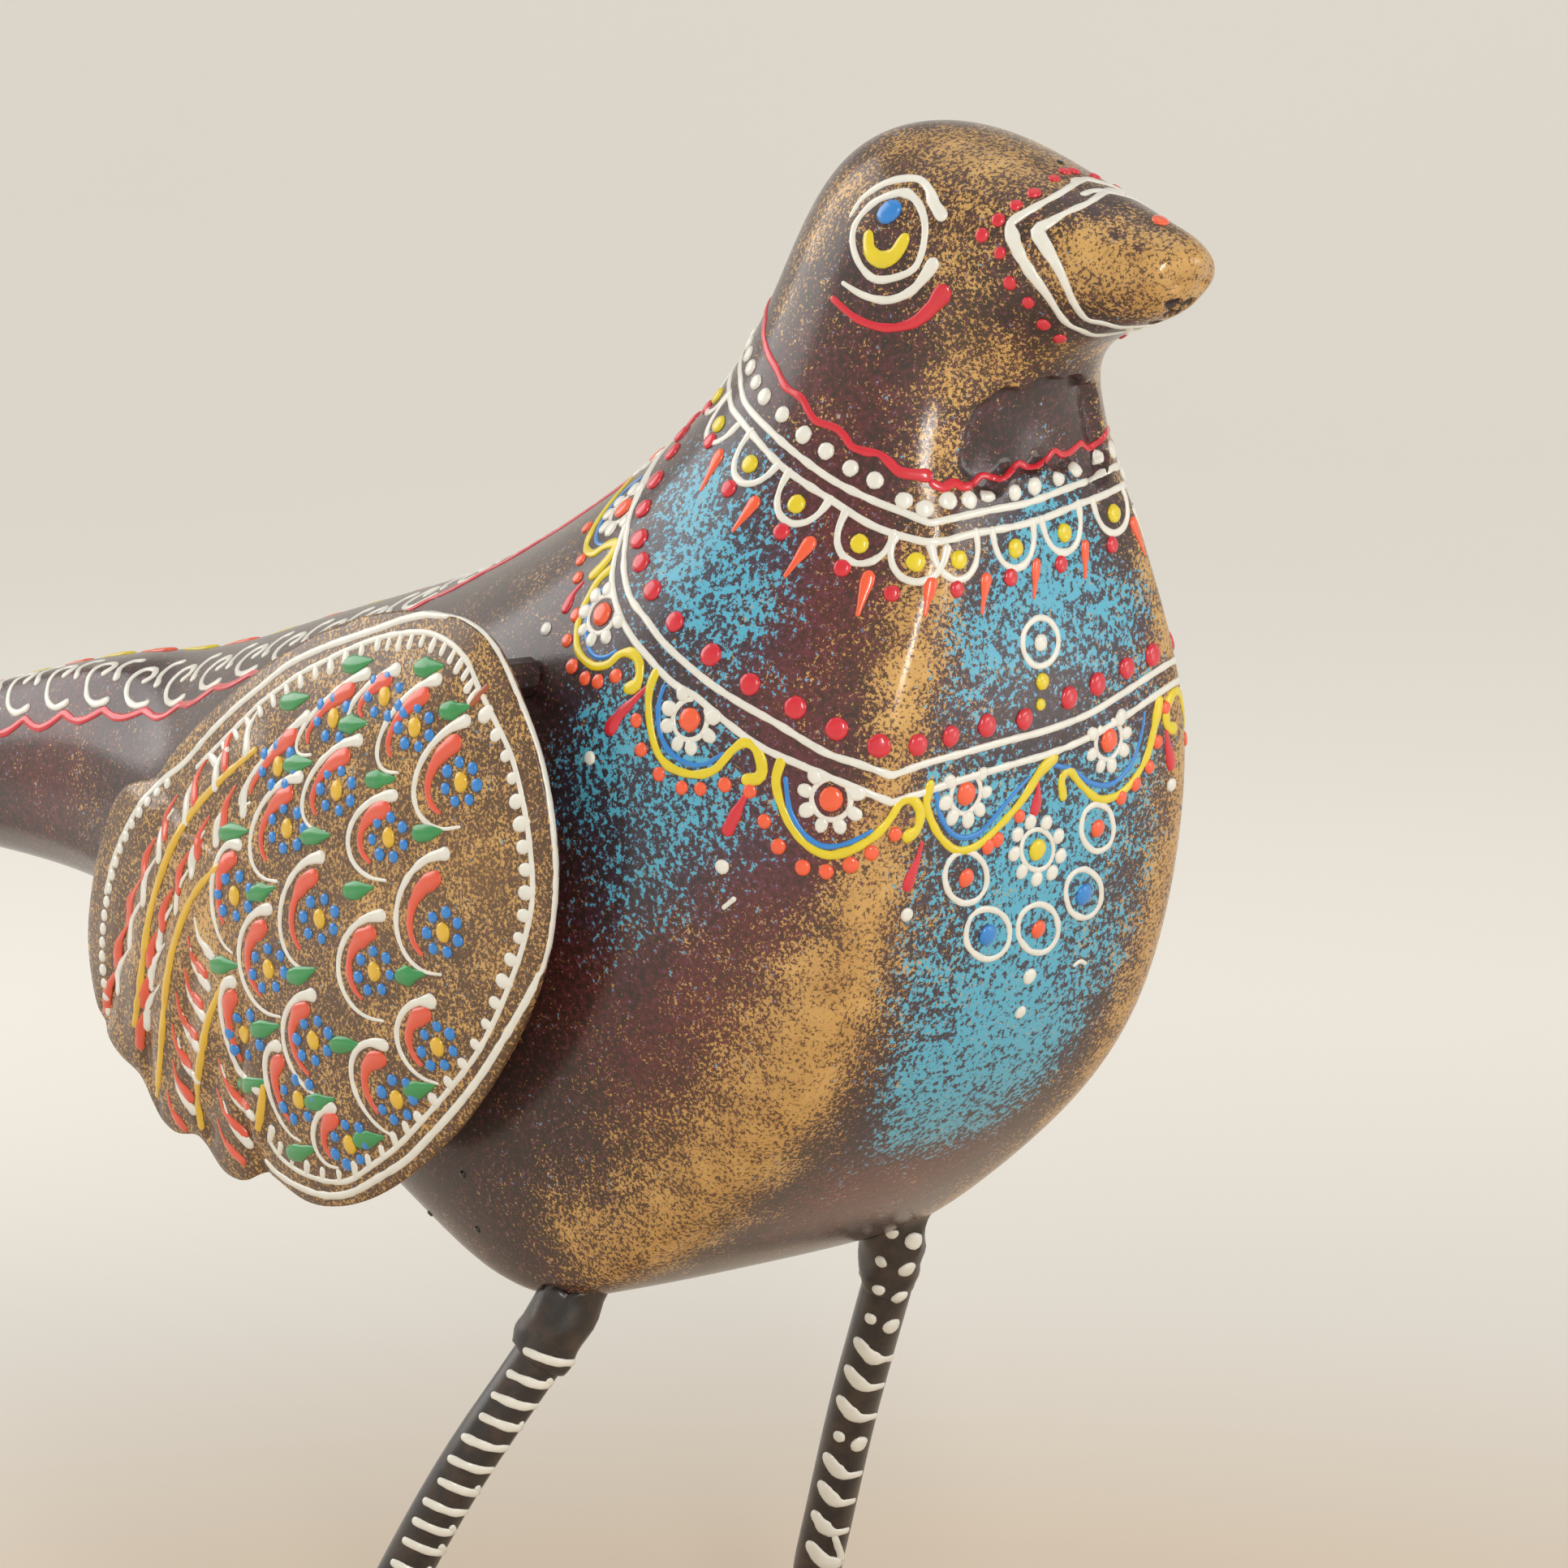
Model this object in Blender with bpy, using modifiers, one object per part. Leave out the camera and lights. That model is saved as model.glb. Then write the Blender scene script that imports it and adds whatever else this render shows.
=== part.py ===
"""A hand-painted sheet-iron bird, standing on two bent rod legs.

The hollow body is one closed form from beak to tail. Each wing is a domed plate, held off
the body by two short studs. Each leg is a bent rod with a lump of filler around its top,
and it stands on a forged foot.

Metres, +Z up. The bird faces -Y, and its right side is at -X. The origin is on the floor,
under the middle of the whole bird.
"""

import math
import random

import bmesh
import bpy
from mathutils import Vector
from mathutils.bvhtree import BVHTree

# Driving dimensions
BODY_LENGTH = 0.335
BODY_WIDTH = 0.094
BELLY_CLEARANCE = 0.093
WING_THICKNESS = 0.0016
WING_DOME = 0.0065
WING_STAND_OFF = 0.004
WING_TOE_IN = math.radians(4)
STUD_RADIUS = 0.003
LEG_RADIUS = 0.0041
COLLAR_LENGTH = 0.0105
COLLAR_WALL = 0.0016
COLLAR_LIP = 0.00045
HUB_HEIGHT = 0.0085
HUB_SHOULDER = 0.0009
HUB_FLARE = 0.0016
FOOT_TOE_OUT = math.radians(9)
CONTACT_GAP = 0.00035
COLLAR_GAP = 0.0008

# The body's tables are in units: forward and up from a point inside the breast, and half
# widths. A length unit is a share of the body's length, and a side unit of its width.
BEAK_TIP = 80.0
TAIL_END = -255.0
BELLY_LOW = -77.0
WIDEST = 47.0
UNIT = BODY_LENGTH / (BEAK_TIP - TAIL_END)
SIDE_UNIT = BODY_WIDTH / 2 / WIDEST

# Where each half section's points lie between the ventral line (0) and the dorsal line (1)
SECTION_RISE = (0.02, 0.25, 0.50, 0.76, 0.95)
REAR_RISE = (-0.01, 0.24, 0.50, 0.76, 0.95)

# Half widths at those points, as shares of the station's own half width
SECTIONS = {
    "beak": (0.50, 0.92, 1.06, 0.92, 0.50),
    "face": (0.52, 0.90, 1.03, 0.94, 0.55),
    "neck": (0.78, 0.99, 1.03, 0.92, 0.50),
    "breast": (0.75, 0.99, 1.03, 0.91, 0.48),
    "belly": (0.76, 1.01, 1.03, 0.88, 0.46),
    "under": (0.88, 1.03, 1.03, 0.87, 0.46),
    "rear": (0.76, 1.01, 1.04, 0.84, 0.45),
    "tail": (0.56, 1.02, 1.06, 0.96, 0.66),
}

# Each station: ventral (forward, up), dorsal (forward, up), half width, section
STATIONS = (
    ((79.5, 77.0), (80.5, 81.0), 4.0, "beak"),
    ((77.0, 73.0), (79.0, 84.0), 6.5, "beak"),
    ((71.0, 71.0), (71.0, 87.0), 9.5, "beak"),
    ((64.0, 69.3), (59.0, 91.5), 13.0, "beak"),
    ((58.5, 66.5), (47.0, 96.5), 16.0, "face"),
    ((55.0, 62.5), (33.0, 101.0), 19.0, "face"),
    ((53.0, 56.0), (19.0, 98.5), 21.5, "face"),
    ((53.0, 47.5), (10.0, 83.5), 23.5, "neck"),
    ((54.0, 37.0), (2.5, 66.0), 27.5, "neck"),
    ((55.0, 24.5), (-12.0, 52.0), 36.0, "breast"),
    ((55.0, 10.0), (-32.5, 40.0), 43.0, "breast"),
    ((53.0, -6.0), (-54.0, 31.0), 46.0, "breast"),
    ((48.5, -25.0), (-74.0, 26.0), 47.0, "belly"),
    ((39.5, -46.0), (-91.0, 22.0), 47.0, "belly"),
    ((12.0, -67.0), (-105.0, 18.5), 44.5, "belly"),
    ((-13.5, -80.0), (-117.0, 15.0), 42.0, "under"),
    ((-53.0, -72.0), (-127.0, 12.5), 33.0, "rear"),
    ((-90.0, -51.0), (-136.0, 10.0), 26.0, "rear"),
    ((-128.0, -35.5), (-146.0, 9.0), 19.5, "tail"),
    ((-162.0, -29.0), (-166.0, 5.5), 17.0, "tail"),
    ((-205.0, -28.5), (-205.0, -5.5), 17.0, "tail"),
    ((-245.0, -24.0), (-245.0, -13.0), 19.0, "tail"),
    ((-255.0, -22.0), (-255.0, -15.5), 17.0, "tail"),
)

# The two soft edges down the breast, the belly's lower edges, and the fold along the tail
BREAST_CREASE = 0.55
BELLY_CREASE = 0.7
TAIL_CREASE = 0.45

# The wing's outline (forward, up): an oval plate that ends in feather lobes at the rear
WING_CENTRE = (-44.0, -18.0)
WING_OUTLINE = (
    (-17.5, 28.5), (-5.5, 26.5), (1.5, 18.0), (6.5, 8.0), (9.5, -3.0), (8.5, -14.5),
    (4.5, -25.0), (-3.0, -36.0), (-13.5, -47.0), (-26.0, -56.0), (-38.0, -61.5),
    (-50.0, -63.0), (-59.5, -59.5), (-64.5, -62.0), (-71.0, -61.5), (-76.5, -56.5),
    (-82.5, -57.5), (-88.0, -55.0), (-92.0, -49.5), (-98.5, -47.0), (-103.5, -41.0),
    (-106.0, -31.0), (-104.5, -21.5), (-101.0, -12.0), (-95.5, -5.0), (-87.5, -3.5),
    (-83.0, 1.0), (-74.0, 7.5), (-62.0, 15.0), (-46.5, 22.5), (-31.5, 27.0),
)
WING_RINGS = (0.3, 0.55, 0.78, 0.93, 1.0)
STUDS = {"front": (-9.0, 19.0), "rear": (-62.0, -30.0)}

# Each leg's line from inside the belly to its foot: forward and side in units, and the
# share of the way down from the belly's lowest point (0) to the top of the foot's hub (1)
LEG_LINES = {
    "right": ((-6.0, -0.18, 25.5), (-17.0, 0.06, 32.0), (-26.5, 0.27, 39.5),
              (-36.0, 0.47, 43.0), (-42.5, 0.63, 45.5), (-43.5, 0.71, 46.5),
              (-40.5, 0.84, 47.0), (-37.0, 0.94, 47.0), (-36.0, 1.0, 47.0)),
    "left": ((0.0, -0.18, 28.0), (-9.0, 0.04, 32.5), (-23.0, 0.32, 39.0),
             (-33.5, 0.59, 43.5), (-37.5, 0.70, 45.0), (-38.5, 0.77, 46.0),
             (-38.0, 0.86, 47.0), (-36.5, 0.94, 47.0), (-36.0, 1.0, 47.0)),
}
COLLAR_SIDES = 18
HUB_SIDES = 14

# Each toe: direction from straight ahead in degrees, length, width, height
TOES = (
    (0.0, 0.041, 0.0070, 0.0056),
    (-34.0, 0.034, 0.0064, 0.0052),
    (34.0, 0.034, 0.0064, 0.0052),
    (180.0, 0.024, 0.0064, 0.0052),
)


def clear_scene():
    for obj in list(bpy.data.objects):
        bpy.data.objects.remove(obj, do_unlink=True)


def make_material(name, colour, roughness, metallic):
    material = bpy.data.materials.new(name)
    material.use_nodes = True
    shader = material.node_tree.nodes["Principled BSDF"]
    shader.inputs["Base Color"].default_value = (*colour, 1.0)
    shader.inputs["Roughness"].default_value = roughness
    shader.inputs["Metallic"].default_value = metallic
    return material


def mesh_from(bm, name):
    bmesh.ops.recalc_face_normals(bm, faces=bm.faces)
    mesh = bpy.data.meshes.new(name)
    bm.to_mesh(mesh)
    bm.free()
    mesh.shade_smooth()
    return mesh


def add_object(name, mesh, material, collection):
    obj = bpy.data.objects.new(name, mesh)
    mesh.materials.append(material)
    collection.objects.link(obj)
    return obj


def place(forward, up, side=0.0):
    """The point that many units forward, up and to the left of the breast's own point."""
    return Vector((side * SIDE_UNIT, -forward * UNIT,
                   BELLY_CLEARANCE + (up - BELLY_LOW) * UNIT))


def surface_of(obj):
    """A search tree over the object's evaluated mesh."""
    return BVHTree.FromObject(obj, bpy.context.evaluated_depsgraph_get())


def smooth_line(points, steps, closed=False):
    """A smooth curve through the points, with that many steps from each to the next."""
    count = len(points)
    line = []
    for i in range(count if closed else count - 1):
        if closed:
            a, b, c, d = (points[(i + k) % count] for k in (-1, 0, 1, 2))
        else:
            a, b, c, d = (points[min(max(i + k, 0), count - 1)] for k in (-1, 0, 1, 2))
        for step in range(steps):
            t = step / steps
            line.append(0.5 * (2 * b + (c - a) * t + (2 * a - 5 * b + 4 * c - d) * t * t
                               + (3 * b - a - 3 * c + d) * t ** 3))
    if not closed:
        line.append(points[-1].copy())
    return line


def section_ring(station):
    """The points of one cross-section: up the bird's right side, and down its left."""
    ventral, dorsal, half_width, kind = station
    low, high = place(*ventral), place(*dorsal)
    width = half_width * SIDE_UNIT
    right = []
    rises = REAR_RISE if kind in ("under", "rear") else SECTION_RISE
    for rise, share in zip(rises, SECTIONS[kind]):
        point = low.lerp(high, rise)
        point.x = -share * width
        right.append(point)
    left = [Vector((-p.x, p.y, p.z)) for p in reversed(right)]
    return [low] + right + [high] + left


def make_body(material, collection):
    """The body is a cage of sections, rounded by a Subdivision Surface."""
    bm = bmesh.new()
    rings = [[bm.verts.new(p) for p in section_ring(s)] for s in STATIONS]
    count = len(rings[0])
    for ring, following in zip(rings, rings[1:]):
        for i in range(count):
            j = (i + 1) % count
            bm.faces.new((ring[i], ring[j], following[j], following[i]))
    bm.faces.new(rings[0])
    bm.faces.new(rings[-1])
    crease = bm.edges.layers.float.new("crease_edge")
    pairs = list(zip(rings, rings[1:]))
    for ring, following in pairs[7:14]:
        for i in (1, count - 1):
            bm.edges.get((ring[i], following[i]))[crease] = BREAST_CREASE
    for ring, following in pairs[14:16]:
        for i in (1, count - 1):
            bm.edges.get((ring[i], following[i]))[crease] = BELLY_CREASE
    for ring, following in pairs[17:]:
        for i in (2, 5, count - 5, count - 2):
            bm.edges.get((ring[i], following[i]))[crease] = TAIL_CREASE
    body = add_object("body", mesh_from(bm, "body"), material, collection)
    rounding = body.modifiers.new("rounding", "SUBSURF")
    rounding.levels = rounding.render_levels = 1
    return body


def wing_point(forward, up, out, side):
    """A point of the wing's plane, that far out from it. Side is -1 for the right wing."""
    turned = (forward - WING_CENTRE[0]) * UNIT
    offset = BODY_WIDTH / 2 + WING_STAND_OFF + out * math.cos(WING_TOE_IN)
    offset += turned * math.sin(WING_TOE_IN)
    point = place(forward, up)
    point.x = side * offset
    point.y += out * math.sin(WING_TOE_IN)
    return point


def make_wing(name, side, material, collection):
    """A domed plate: rings of its outline as an open surface, made solid by Solidify."""
    outline = smooth_line([Vector((f, u)) for f, u in WING_OUTLINE], 2, closed=True)
    count = len(outline)
    centre = Vector(WING_CENTRE)
    bm = bmesh.new()
    inner = [bm.verts.new(wing_point(*centre, WING_DOME, side))] * count
    for reach in WING_RINGS:
        out = WING_DOME * (1 - reach ** 2.2)
        ring = [bm.verts.new(wing_point(*centre.lerp(p, reach), out, side)) for p in outline]
        for i in range(count):
            j = (i + 1) % count
            corners = dict.fromkeys((inner[i], ring[i], ring[j], inner[j]))
            bm.faces.new(tuple(corners) if side > 0 else tuple(reversed(corners)))
        inner = ring
    mesh = bpy.data.meshes.new(name)
    bm.to_mesh(mesh)
    bm.free()
    mesh.shade_smooth()
    wing = add_object(name, mesh, material, collection)
    plate = wing.modifiers.new("plate", "SOLIDIFY")
    plate.thickness = WING_THICKNESS
    plate.offset = 0.0
    return wing


def make_stud(name, where, side, body_tree, wing_tree, material, collection):
    """A short rod between body and wing, whose ends follow the two surfaces."""
    out = Vector((side * math.cos(WING_TOE_IN), math.sin(WING_TOE_IN), 0.0))
    middle = wing_point(*where, -WING_STAND_OFF, side)
    bm = bmesh.new()
    bmesh.ops.create_cone(bm, cap_ends=True, cap_tris=True, segments=10, radius1=STUD_RADIUS,
                          radius2=STUD_RADIUS, depth=STUD_RADIUS)
    turn = out.to_track_quat("Z", "Y")
    for vertex in bm.verts:
        spot = middle + turn @ Vector((vertex.co.x, vertex.co.y, 0.0))
        if vertex.co.z > 0:
            vertex.co = wing_tree.ray_cast(spot, out)[0] - out * CONTACT_GAP
        else:
            vertex.co = body_tree.ray_cast(spot, -out)[0] + out * CONTACT_GAP
    return add_object(name, mesh_from(bm, name), material, collection)


def ring_around(centre, axis, radius, sides, wobble=None):
    """Points around the axis. The wobble changes the radius of each one a little."""
    first = axis.cross(Vector((0, 1, 0))).normalized()
    second = axis.cross(first).normalized()
    points = []
    for i in range(sides):
        turn = math.tau * i / sides
        reach = radius * (wobble[i] if wobble else 1.0)
        points.append(centre + reach * (math.cos(turn) * first + math.sin(turn) * second))
    return points


def height_below(point, axis, tree):
    """How far the surface is from the point, back up the axis."""
    return tree.ray_cast(point, -axis)[3]


def leg_line(hand, side):
    """The leg's middle line, from just under the belly to the foot."""
    points = []
    for forward, drop, out in LEG_LINES[hand]:
        point = place(forward, 0.0, side * out)
        point.z = BELLY_CLEARANCE + (HUB_HEIGHT + CONTACT_GAP - BELLY_CLEARANCE) * drop
        points.append(point)
    return smooth_line(points, 2)[3:]


def make_leg(hand, side, body_tree, material, collection):
    """A bent rod from the belly to the foot's hub, square at both ends."""
    line = leg_line(hand, side)
    axis = (line[1] - line[0]).normalized()
    rim = ring_around(line[0], axis, LEG_RADIUS, COLLAR_SIDES)
    rise = min(height_below(p, axis, body_tree) for p in rim + [line[0]]) - CONTACT_GAP
    line.insert(0, line[0] - axis * rise)
    line[-2] = line[-1] + Vector((0, 0, LEG_RADIUS / 2))
    curve = bpy.data.curves.new("leg_" + hand, "CURVE")
    curve.dimensions = "3D"
    spline = curve.splines.new("POLY")
    spline.points.add(len(line) - 1)
    for point, spot in zip(spline.points, line):
        point.co = (*spot, 1.0)
    curve.bevel_depth = LEG_RADIUS
    curve.bevel_resolution = 4
    curve.use_fill_caps = True
    return add_object("leg_" + hand, curve, material, collection)


def make_collar(hand, side, body_tree, material, collection):
    """The lump of filler around the top of a leg, with a bore for the rod."""
    lumps = random.Random(hand)
    line = leg_line(hand, side)
    axis = (line[1] - line[0]).normalized()
    far = line[0] + axis * COLLAR_LENGTH
    reach = height_below(far, axis, body_tree) - COLLAR_LENGTH
    bore = LEG_RADIUS + CONTACT_GAP

    def ring(radius, share, wobble=None):
        """A ring that follows the belly at share 0 and is square to the rod at share 1."""
        points = []
        for p in ring_around(far, axis, radius, COLLAR_SIDES, wobble):
            rise = height_below(p, axis, body_tree) - COLLAR_GAP - COLLAR_LENGTH * share
            points.append(p - axis * (rise * (1 - share) + reach * share))
        return points

    loop = []
    for share, wall in ((0.0, 1.0), (0.3, 0.85), (0.65, 0.5), (1.0, 0.0)):
        wobble = [1 + lumps.uniform(-0.03, 0.03) for _ in range(COLLAR_SIDES)]
        radius = bore + COLLAR_LIP + (COLLAR_WALL - COLLAR_LIP) * wall
        loop.append(ring(radius, share, wobble))
    loop += [ring(bore, 1.0), ring(bore, 0.0), ring(bore + COLLAR_WALL / 2, 0.0)]
    bm = bmesh.new()
    rings = [[bm.verts.new(p) for p in points] for points in loop]
    for one, following in zip(rings, rings[1:] + rings[:1]):
        for i in range(COLLAR_SIDES):
            j = (i + 1) % COLLAR_SIDES
            bm.faces.new((one[i], one[j], following[j], following[i]))
    name = "leg_collar_" + hand
    return add_object(name, mesh_from(bm, name), material, collection)


def toe_mesh(name, centre, heading, length, width, height):
    """One toe: half round above, flat below, with a knuckle and a blunt claw."""
    along = Vector((math.sin(heading), -math.cos(heading), 0.0))
    across = Vector((along.y, -along.x, 0.0))
    profile = ((-0.5, 0.0), (-0.46, 0.55), (0.0, 1.0), (0.46, 0.55), (0.5, 0.0))
    stations = ((0.0, 0.95, 1.0), (0.45, 0.78, 0.78), (0.60, 0.92, 0.86), (0.78, 0.68, 0.66),
                (1.0, 0.30, 0.30))
    bm = bmesh.new()
    rings = []
    for reach, wide, tall in stations:
        base = centre + along * length * reach
        rings.append([bm.verts.new(base + across * a * width * wide
                                   + Vector((0, 0, u * height * tall))) for a, u in profile])
    for ring, following in zip(rings, rings[1:]):
        for i in range(5):
            j = (i + 1) % 5
            bm.faces.new((ring[i], ring[j], following[j], following[i]))
    bm.faces.new(rings[0])
    bm.faces.new(rings[-1])
    return mesh_from(bm, name)


def hub_mesh(name, centre):
    """The foot's hub: a low cone with a flat top for the rod."""
    bm = bmesh.new()
    top = LEG_RADIUS + HUB_SHOULDER
    bmesh.ops.create_cone(bm, cap_ends=True, segments=HUB_SIDES, radius1=top + HUB_FLARE,
                          radius2=top, depth=HUB_HEIGHT)
    middle = Vector((0, 0, HUB_HEIGHT / 2))
    bmesh.ops.translate(bm, verts=bm.verts, vec=centre + middle)
    return mesh_from(bm, name)


def make_foot(hand, side, material, collection):
    """Hub and four toes, joined into one solid that is flat underneath."""
    name = "foot_" + hand
    end = leg_line(hand, side)[-1]
    centre = Vector((end.x, end.y, 0.0))
    foot = add_object(name, hub_mesh(name, centre), material, collection)
    toes = []
    for i, (degrees, length, width, height) in enumerate(TOES):
        heading = math.radians(degrees) + side * FOOT_TOE_OUT
        toe = bpy.data.objects.new("toe", toe_mesh("toe", centre, heading, length, width, height))
        collection.objects.link(toe)
        joining = foot.modifiers.new("toe_%d" % i, "BOOLEAN")
        joining.operation = "UNION"
        joining.solver = "EXACT"
        joining.object = toe
        toes.append(toe)
    graph = bpy.context.evaluated_depsgraph_get()
    joined = bpy.data.meshes.new_from_object(foot.evaluated_get(graph))
    foot.modifiers.clear()
    foot.data = joined
    joined.name = name
    for toe in toes:
        bpy.data.objects.remove(toe, do_unlink=True)
    return foot


def centre_over_origin(objects):
    """Moves every object so that the whole bird is centred on the origin, front to back."""
    graph = bpy.context.evaluated_depsgraph_get()
    reach = [v.co.y for o in objects for v in o.evaluated_get(graph).to_mesh().vertices]
    for obj in objects:
        obj.location.y = -(min(reach) + max(reach)) / 2


def main():
    clear_scene()
    collection = bpy.data.collections.new("painted_bird")
    bpy.context.scene.collection.children.link(collection)
    painted = make_material("painted_iron", (0.16, 0.09, 0.05), 0.25, 0.5)
    enamel = make_material("black_enamel", (0.035, 0.03, 0.03), 0.3, 0.2)
    body = make_body(painted, collection)
    body_tree = surface_of(body)
    for hand, side in (("right", -1), ("left", 1)):
        wing = make_wing("wing_" + hand, side, painted, collection)
        wing_tree = surface_of(wing)
        for end, where in STUDS.items():
            make_stud("wing_stud_%s_%s" % (hand, end), where, side, body_tree, wing_tree,
                      enamel, collection)
        make_leg(hand, side, body_tree, enamel, collection)
        make_collar(hand, side, body_tree, painted, collection)
        make_foot(hand, side, enamel, collection)
    centre_over_origin(list(collection.objects))


main()
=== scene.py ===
import math
import random

import bmesh
import bpy
import numpy
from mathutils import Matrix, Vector, noise
from mathutils.bvhtree import BVHTree


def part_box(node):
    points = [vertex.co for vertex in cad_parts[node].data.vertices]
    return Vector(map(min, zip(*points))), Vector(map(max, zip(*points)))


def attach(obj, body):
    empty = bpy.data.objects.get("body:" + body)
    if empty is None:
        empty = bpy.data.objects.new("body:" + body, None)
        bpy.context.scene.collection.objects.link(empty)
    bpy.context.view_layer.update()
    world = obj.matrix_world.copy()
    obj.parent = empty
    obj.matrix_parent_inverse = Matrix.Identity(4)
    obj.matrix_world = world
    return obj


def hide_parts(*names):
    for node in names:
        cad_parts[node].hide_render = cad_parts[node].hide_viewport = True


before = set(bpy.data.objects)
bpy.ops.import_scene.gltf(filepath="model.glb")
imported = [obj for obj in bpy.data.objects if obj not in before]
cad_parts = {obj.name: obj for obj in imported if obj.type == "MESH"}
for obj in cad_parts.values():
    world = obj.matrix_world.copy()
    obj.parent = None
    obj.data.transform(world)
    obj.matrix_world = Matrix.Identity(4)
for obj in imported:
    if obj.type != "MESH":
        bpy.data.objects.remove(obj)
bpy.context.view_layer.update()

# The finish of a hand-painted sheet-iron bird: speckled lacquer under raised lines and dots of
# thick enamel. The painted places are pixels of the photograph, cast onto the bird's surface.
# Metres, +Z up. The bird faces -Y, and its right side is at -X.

MM = 0.001

# The camera: the photograph's frame in pixels, and where it looks from
PHOTO_SIZE = 1932
FOCAL_PIXELS = 7470
AZIMUTH = math.radians(-45)
ELEVATION = math.radians(8)
DISTANCE = 0.9
SENSOR = 36.0
BREAST_FROM_FRONT = 0.0800
BREAST_FROM_LOW = 0.0768

body_low, body_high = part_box("body")
BREAST = Vector((0.0, body_low.y + BREAST_FROM_FRONT, body_low.z + BREAST_FROM_LOW))
BACK = Vector((math.sin(AZIMUTH) * math.cos(ELEVATION),
               -math.cos(AZIMUTH) * math.cos(ELEVATION), math.sin(ELEVATION)))
RIGHT = Vector((math.cos(AZIMUTH), math.sin(AZIMUTH), 0.0))
UP = BACK.cross(RIGHT)
EYE = BREAST + BACK * DISTANCE


def make_camera():
    data = bpy.data.cameras.new("camera")
    data.sensor_width = SENSOR
    data.lens = SENSOR * FOCAL_PIXELS / PHOTO_SIZE
    data.clip_start = 0.01
    data.clip_end = 20.0
    camera = bpy.data.objects.new("camera", data)
    camera.location = EYE
    camera.rotation_mode = "QUATERNION"
    camera.rotation_quaternion = (-BACK).to_track_quat("-Z", "Y")
    bpy.context.scene.collection.objects.link(camera)
    bpy.context.scene.camera = camera


def photo_ray(px, py):
    """The direction from the camera through a pixel of the photograph."""
    middle = PHOTO_SIZE / 2
    return (-BACK + RIGHT * ((px - middle) / FOCAL_PIXELS)
            - UP * ((py - middle) / FOCAL_PIXELS)).normalized()


# Skins: the smooth surfaces that stand for the faceted nodes
WELD_WITHIN = 0.001 * MM
JOIN_BEND = math.radians(70)
JOIN_SKEW = math.radians(75)


def quads_from(node):
    """The node's mesh, welded, with its triangles joined back into four-sided faces."""
    bm = bmesh.new()
    bm.from_mesh(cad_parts[node].data)
    bmesh.ops.remove_doubles(bm, verts=bm.verts, dist=WELD_WITHIN)
    bmesh.ops.join_triangles(bm, faces=bm.faces, angle_face_threshold=JOIN_BEND,
                             angle_shape_threshold=JOIN_SKEW)
    bmesh.ops.recalc_face_normals(bm, faces=bm.faces)
    return bm


def skin_of(node, fold, crease, levels):
    """The node's mesh rounded by subdivision. Edges that bend more than the fold stay creased."""
    bm = quads_from(node)
    layer = bm.edges.layers.float.new("crease_edge")
    for edge in bm.edges:
        if edge.is_manifold and edge.calc_face_angle() > fold:
            edge[layer] = crease
    name = "painted_" + node
    mesh = bpy.data.meshes.new(name)
    bm.to_mesh(mesh)
    bm.free()
    cage = bpy.data.objects.new(name + "_cage", mesh)
    bpy.context.scene.collection.objects.link(cage)
    rounding = cage.modifiers.new("rounding", "SUBSURF")
    rounding.levels = rounding.render_levels = levels
    graph = bpy.context.evaluated_depsgraph_get()
    smooth = bpy.data.meshes.new_from_object(cage.evaluated_get(graph))
    bpy.data.objects.remove(cage)
    bpy.data.meshes.remove(mesh)
    smooth.name = name
    smooth.shade_smooth()
    return smooth


def add_piece(mesh, material, slot, *nodes):
    """Puts a piece in the scene, with its material and its body, and hides the nodes it stands for.
    """
    piece = bpy.data.objects.new(mesh.name, mesh)
    mesh.materials.clear()
    mesh.materials.append(material)
    bpy.context.scene.collection.objects.link(piece)
    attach(piece, "root")
    if nodes:
        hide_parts(*nodes)


def tree_of(*meshes):
    """The surfaces of the meshes as one, for rays and nearest points."""
    places, faces = [], []
    for mesh in meshes:
        start = len(places)
        places += [v.co.copy() for v in mesh.vertices]
        faces += [[start + k for k in p.vertices] for p in mesh.polygons]
    return BVHTree.FromPolygons(places, faces)


# Materials

def principled(name):
    material = bpy.data.materials.new(name)
    material.use_nodes = True
    return material, material.node_tree, material.node_tree.nodes["Principled BSDF"]


def add_node(tree, kind, **settings):
    node = tree.nodes.new(kind)
    for key, value in settings.items():
        setattr(node, key, value)
    return node


def noise_node(tree, scale, detail=2.0, roughness=0.5):
    """A noise over the object's own place, in features to the metre."""
    place = add_node(tree, "ShaderNodeTexCoord")
    grain = add_node(tree, "ShaderNodeTexNoise")
    grain.inputs["Scale"].default_value = scale
    grain.inputs["Detail"].default_value = detail
    grain.inputs["Roughness"].default_value = roughness
    tree.links.new(place.outputs["Object"], grain.inputs["Vector"])
    return grain.outputs["Fac"]


def maths(tree, operation, first, second=None, third=None):
    node = add_node(tree, "ShaderNodeMath", operation=operation)
    for socket, value in zip(node.inputs, (first, second, third)):
        if value is None:
            continue
        if isinstance(value, (int, float)):
            socket.default_value = value
        else:
            tree.links.new(value, socket)
    return node.outputs[0]


def mix_colour(tree, share, first, second):
    node = add_node(tree, "ShaderNodeMix", data_type="RGBA")
    tree.links.new(share, node.inputs["Factor"])
    for socket, value in zip((node.inputs[6], node.inputs[7]), (first, second)):
        if isinstance(value, tuple):
            socket.default_value = (*value, 1.0)
        else:
            tree.links.new(value, socket)
    return node.outputs[2]


# How much of a grain shows: at density 0 a fleck here and there, at 1 nearly closed
BARE_LEVEL = 0.335
LEVEL_SPAN = 0.25


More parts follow.
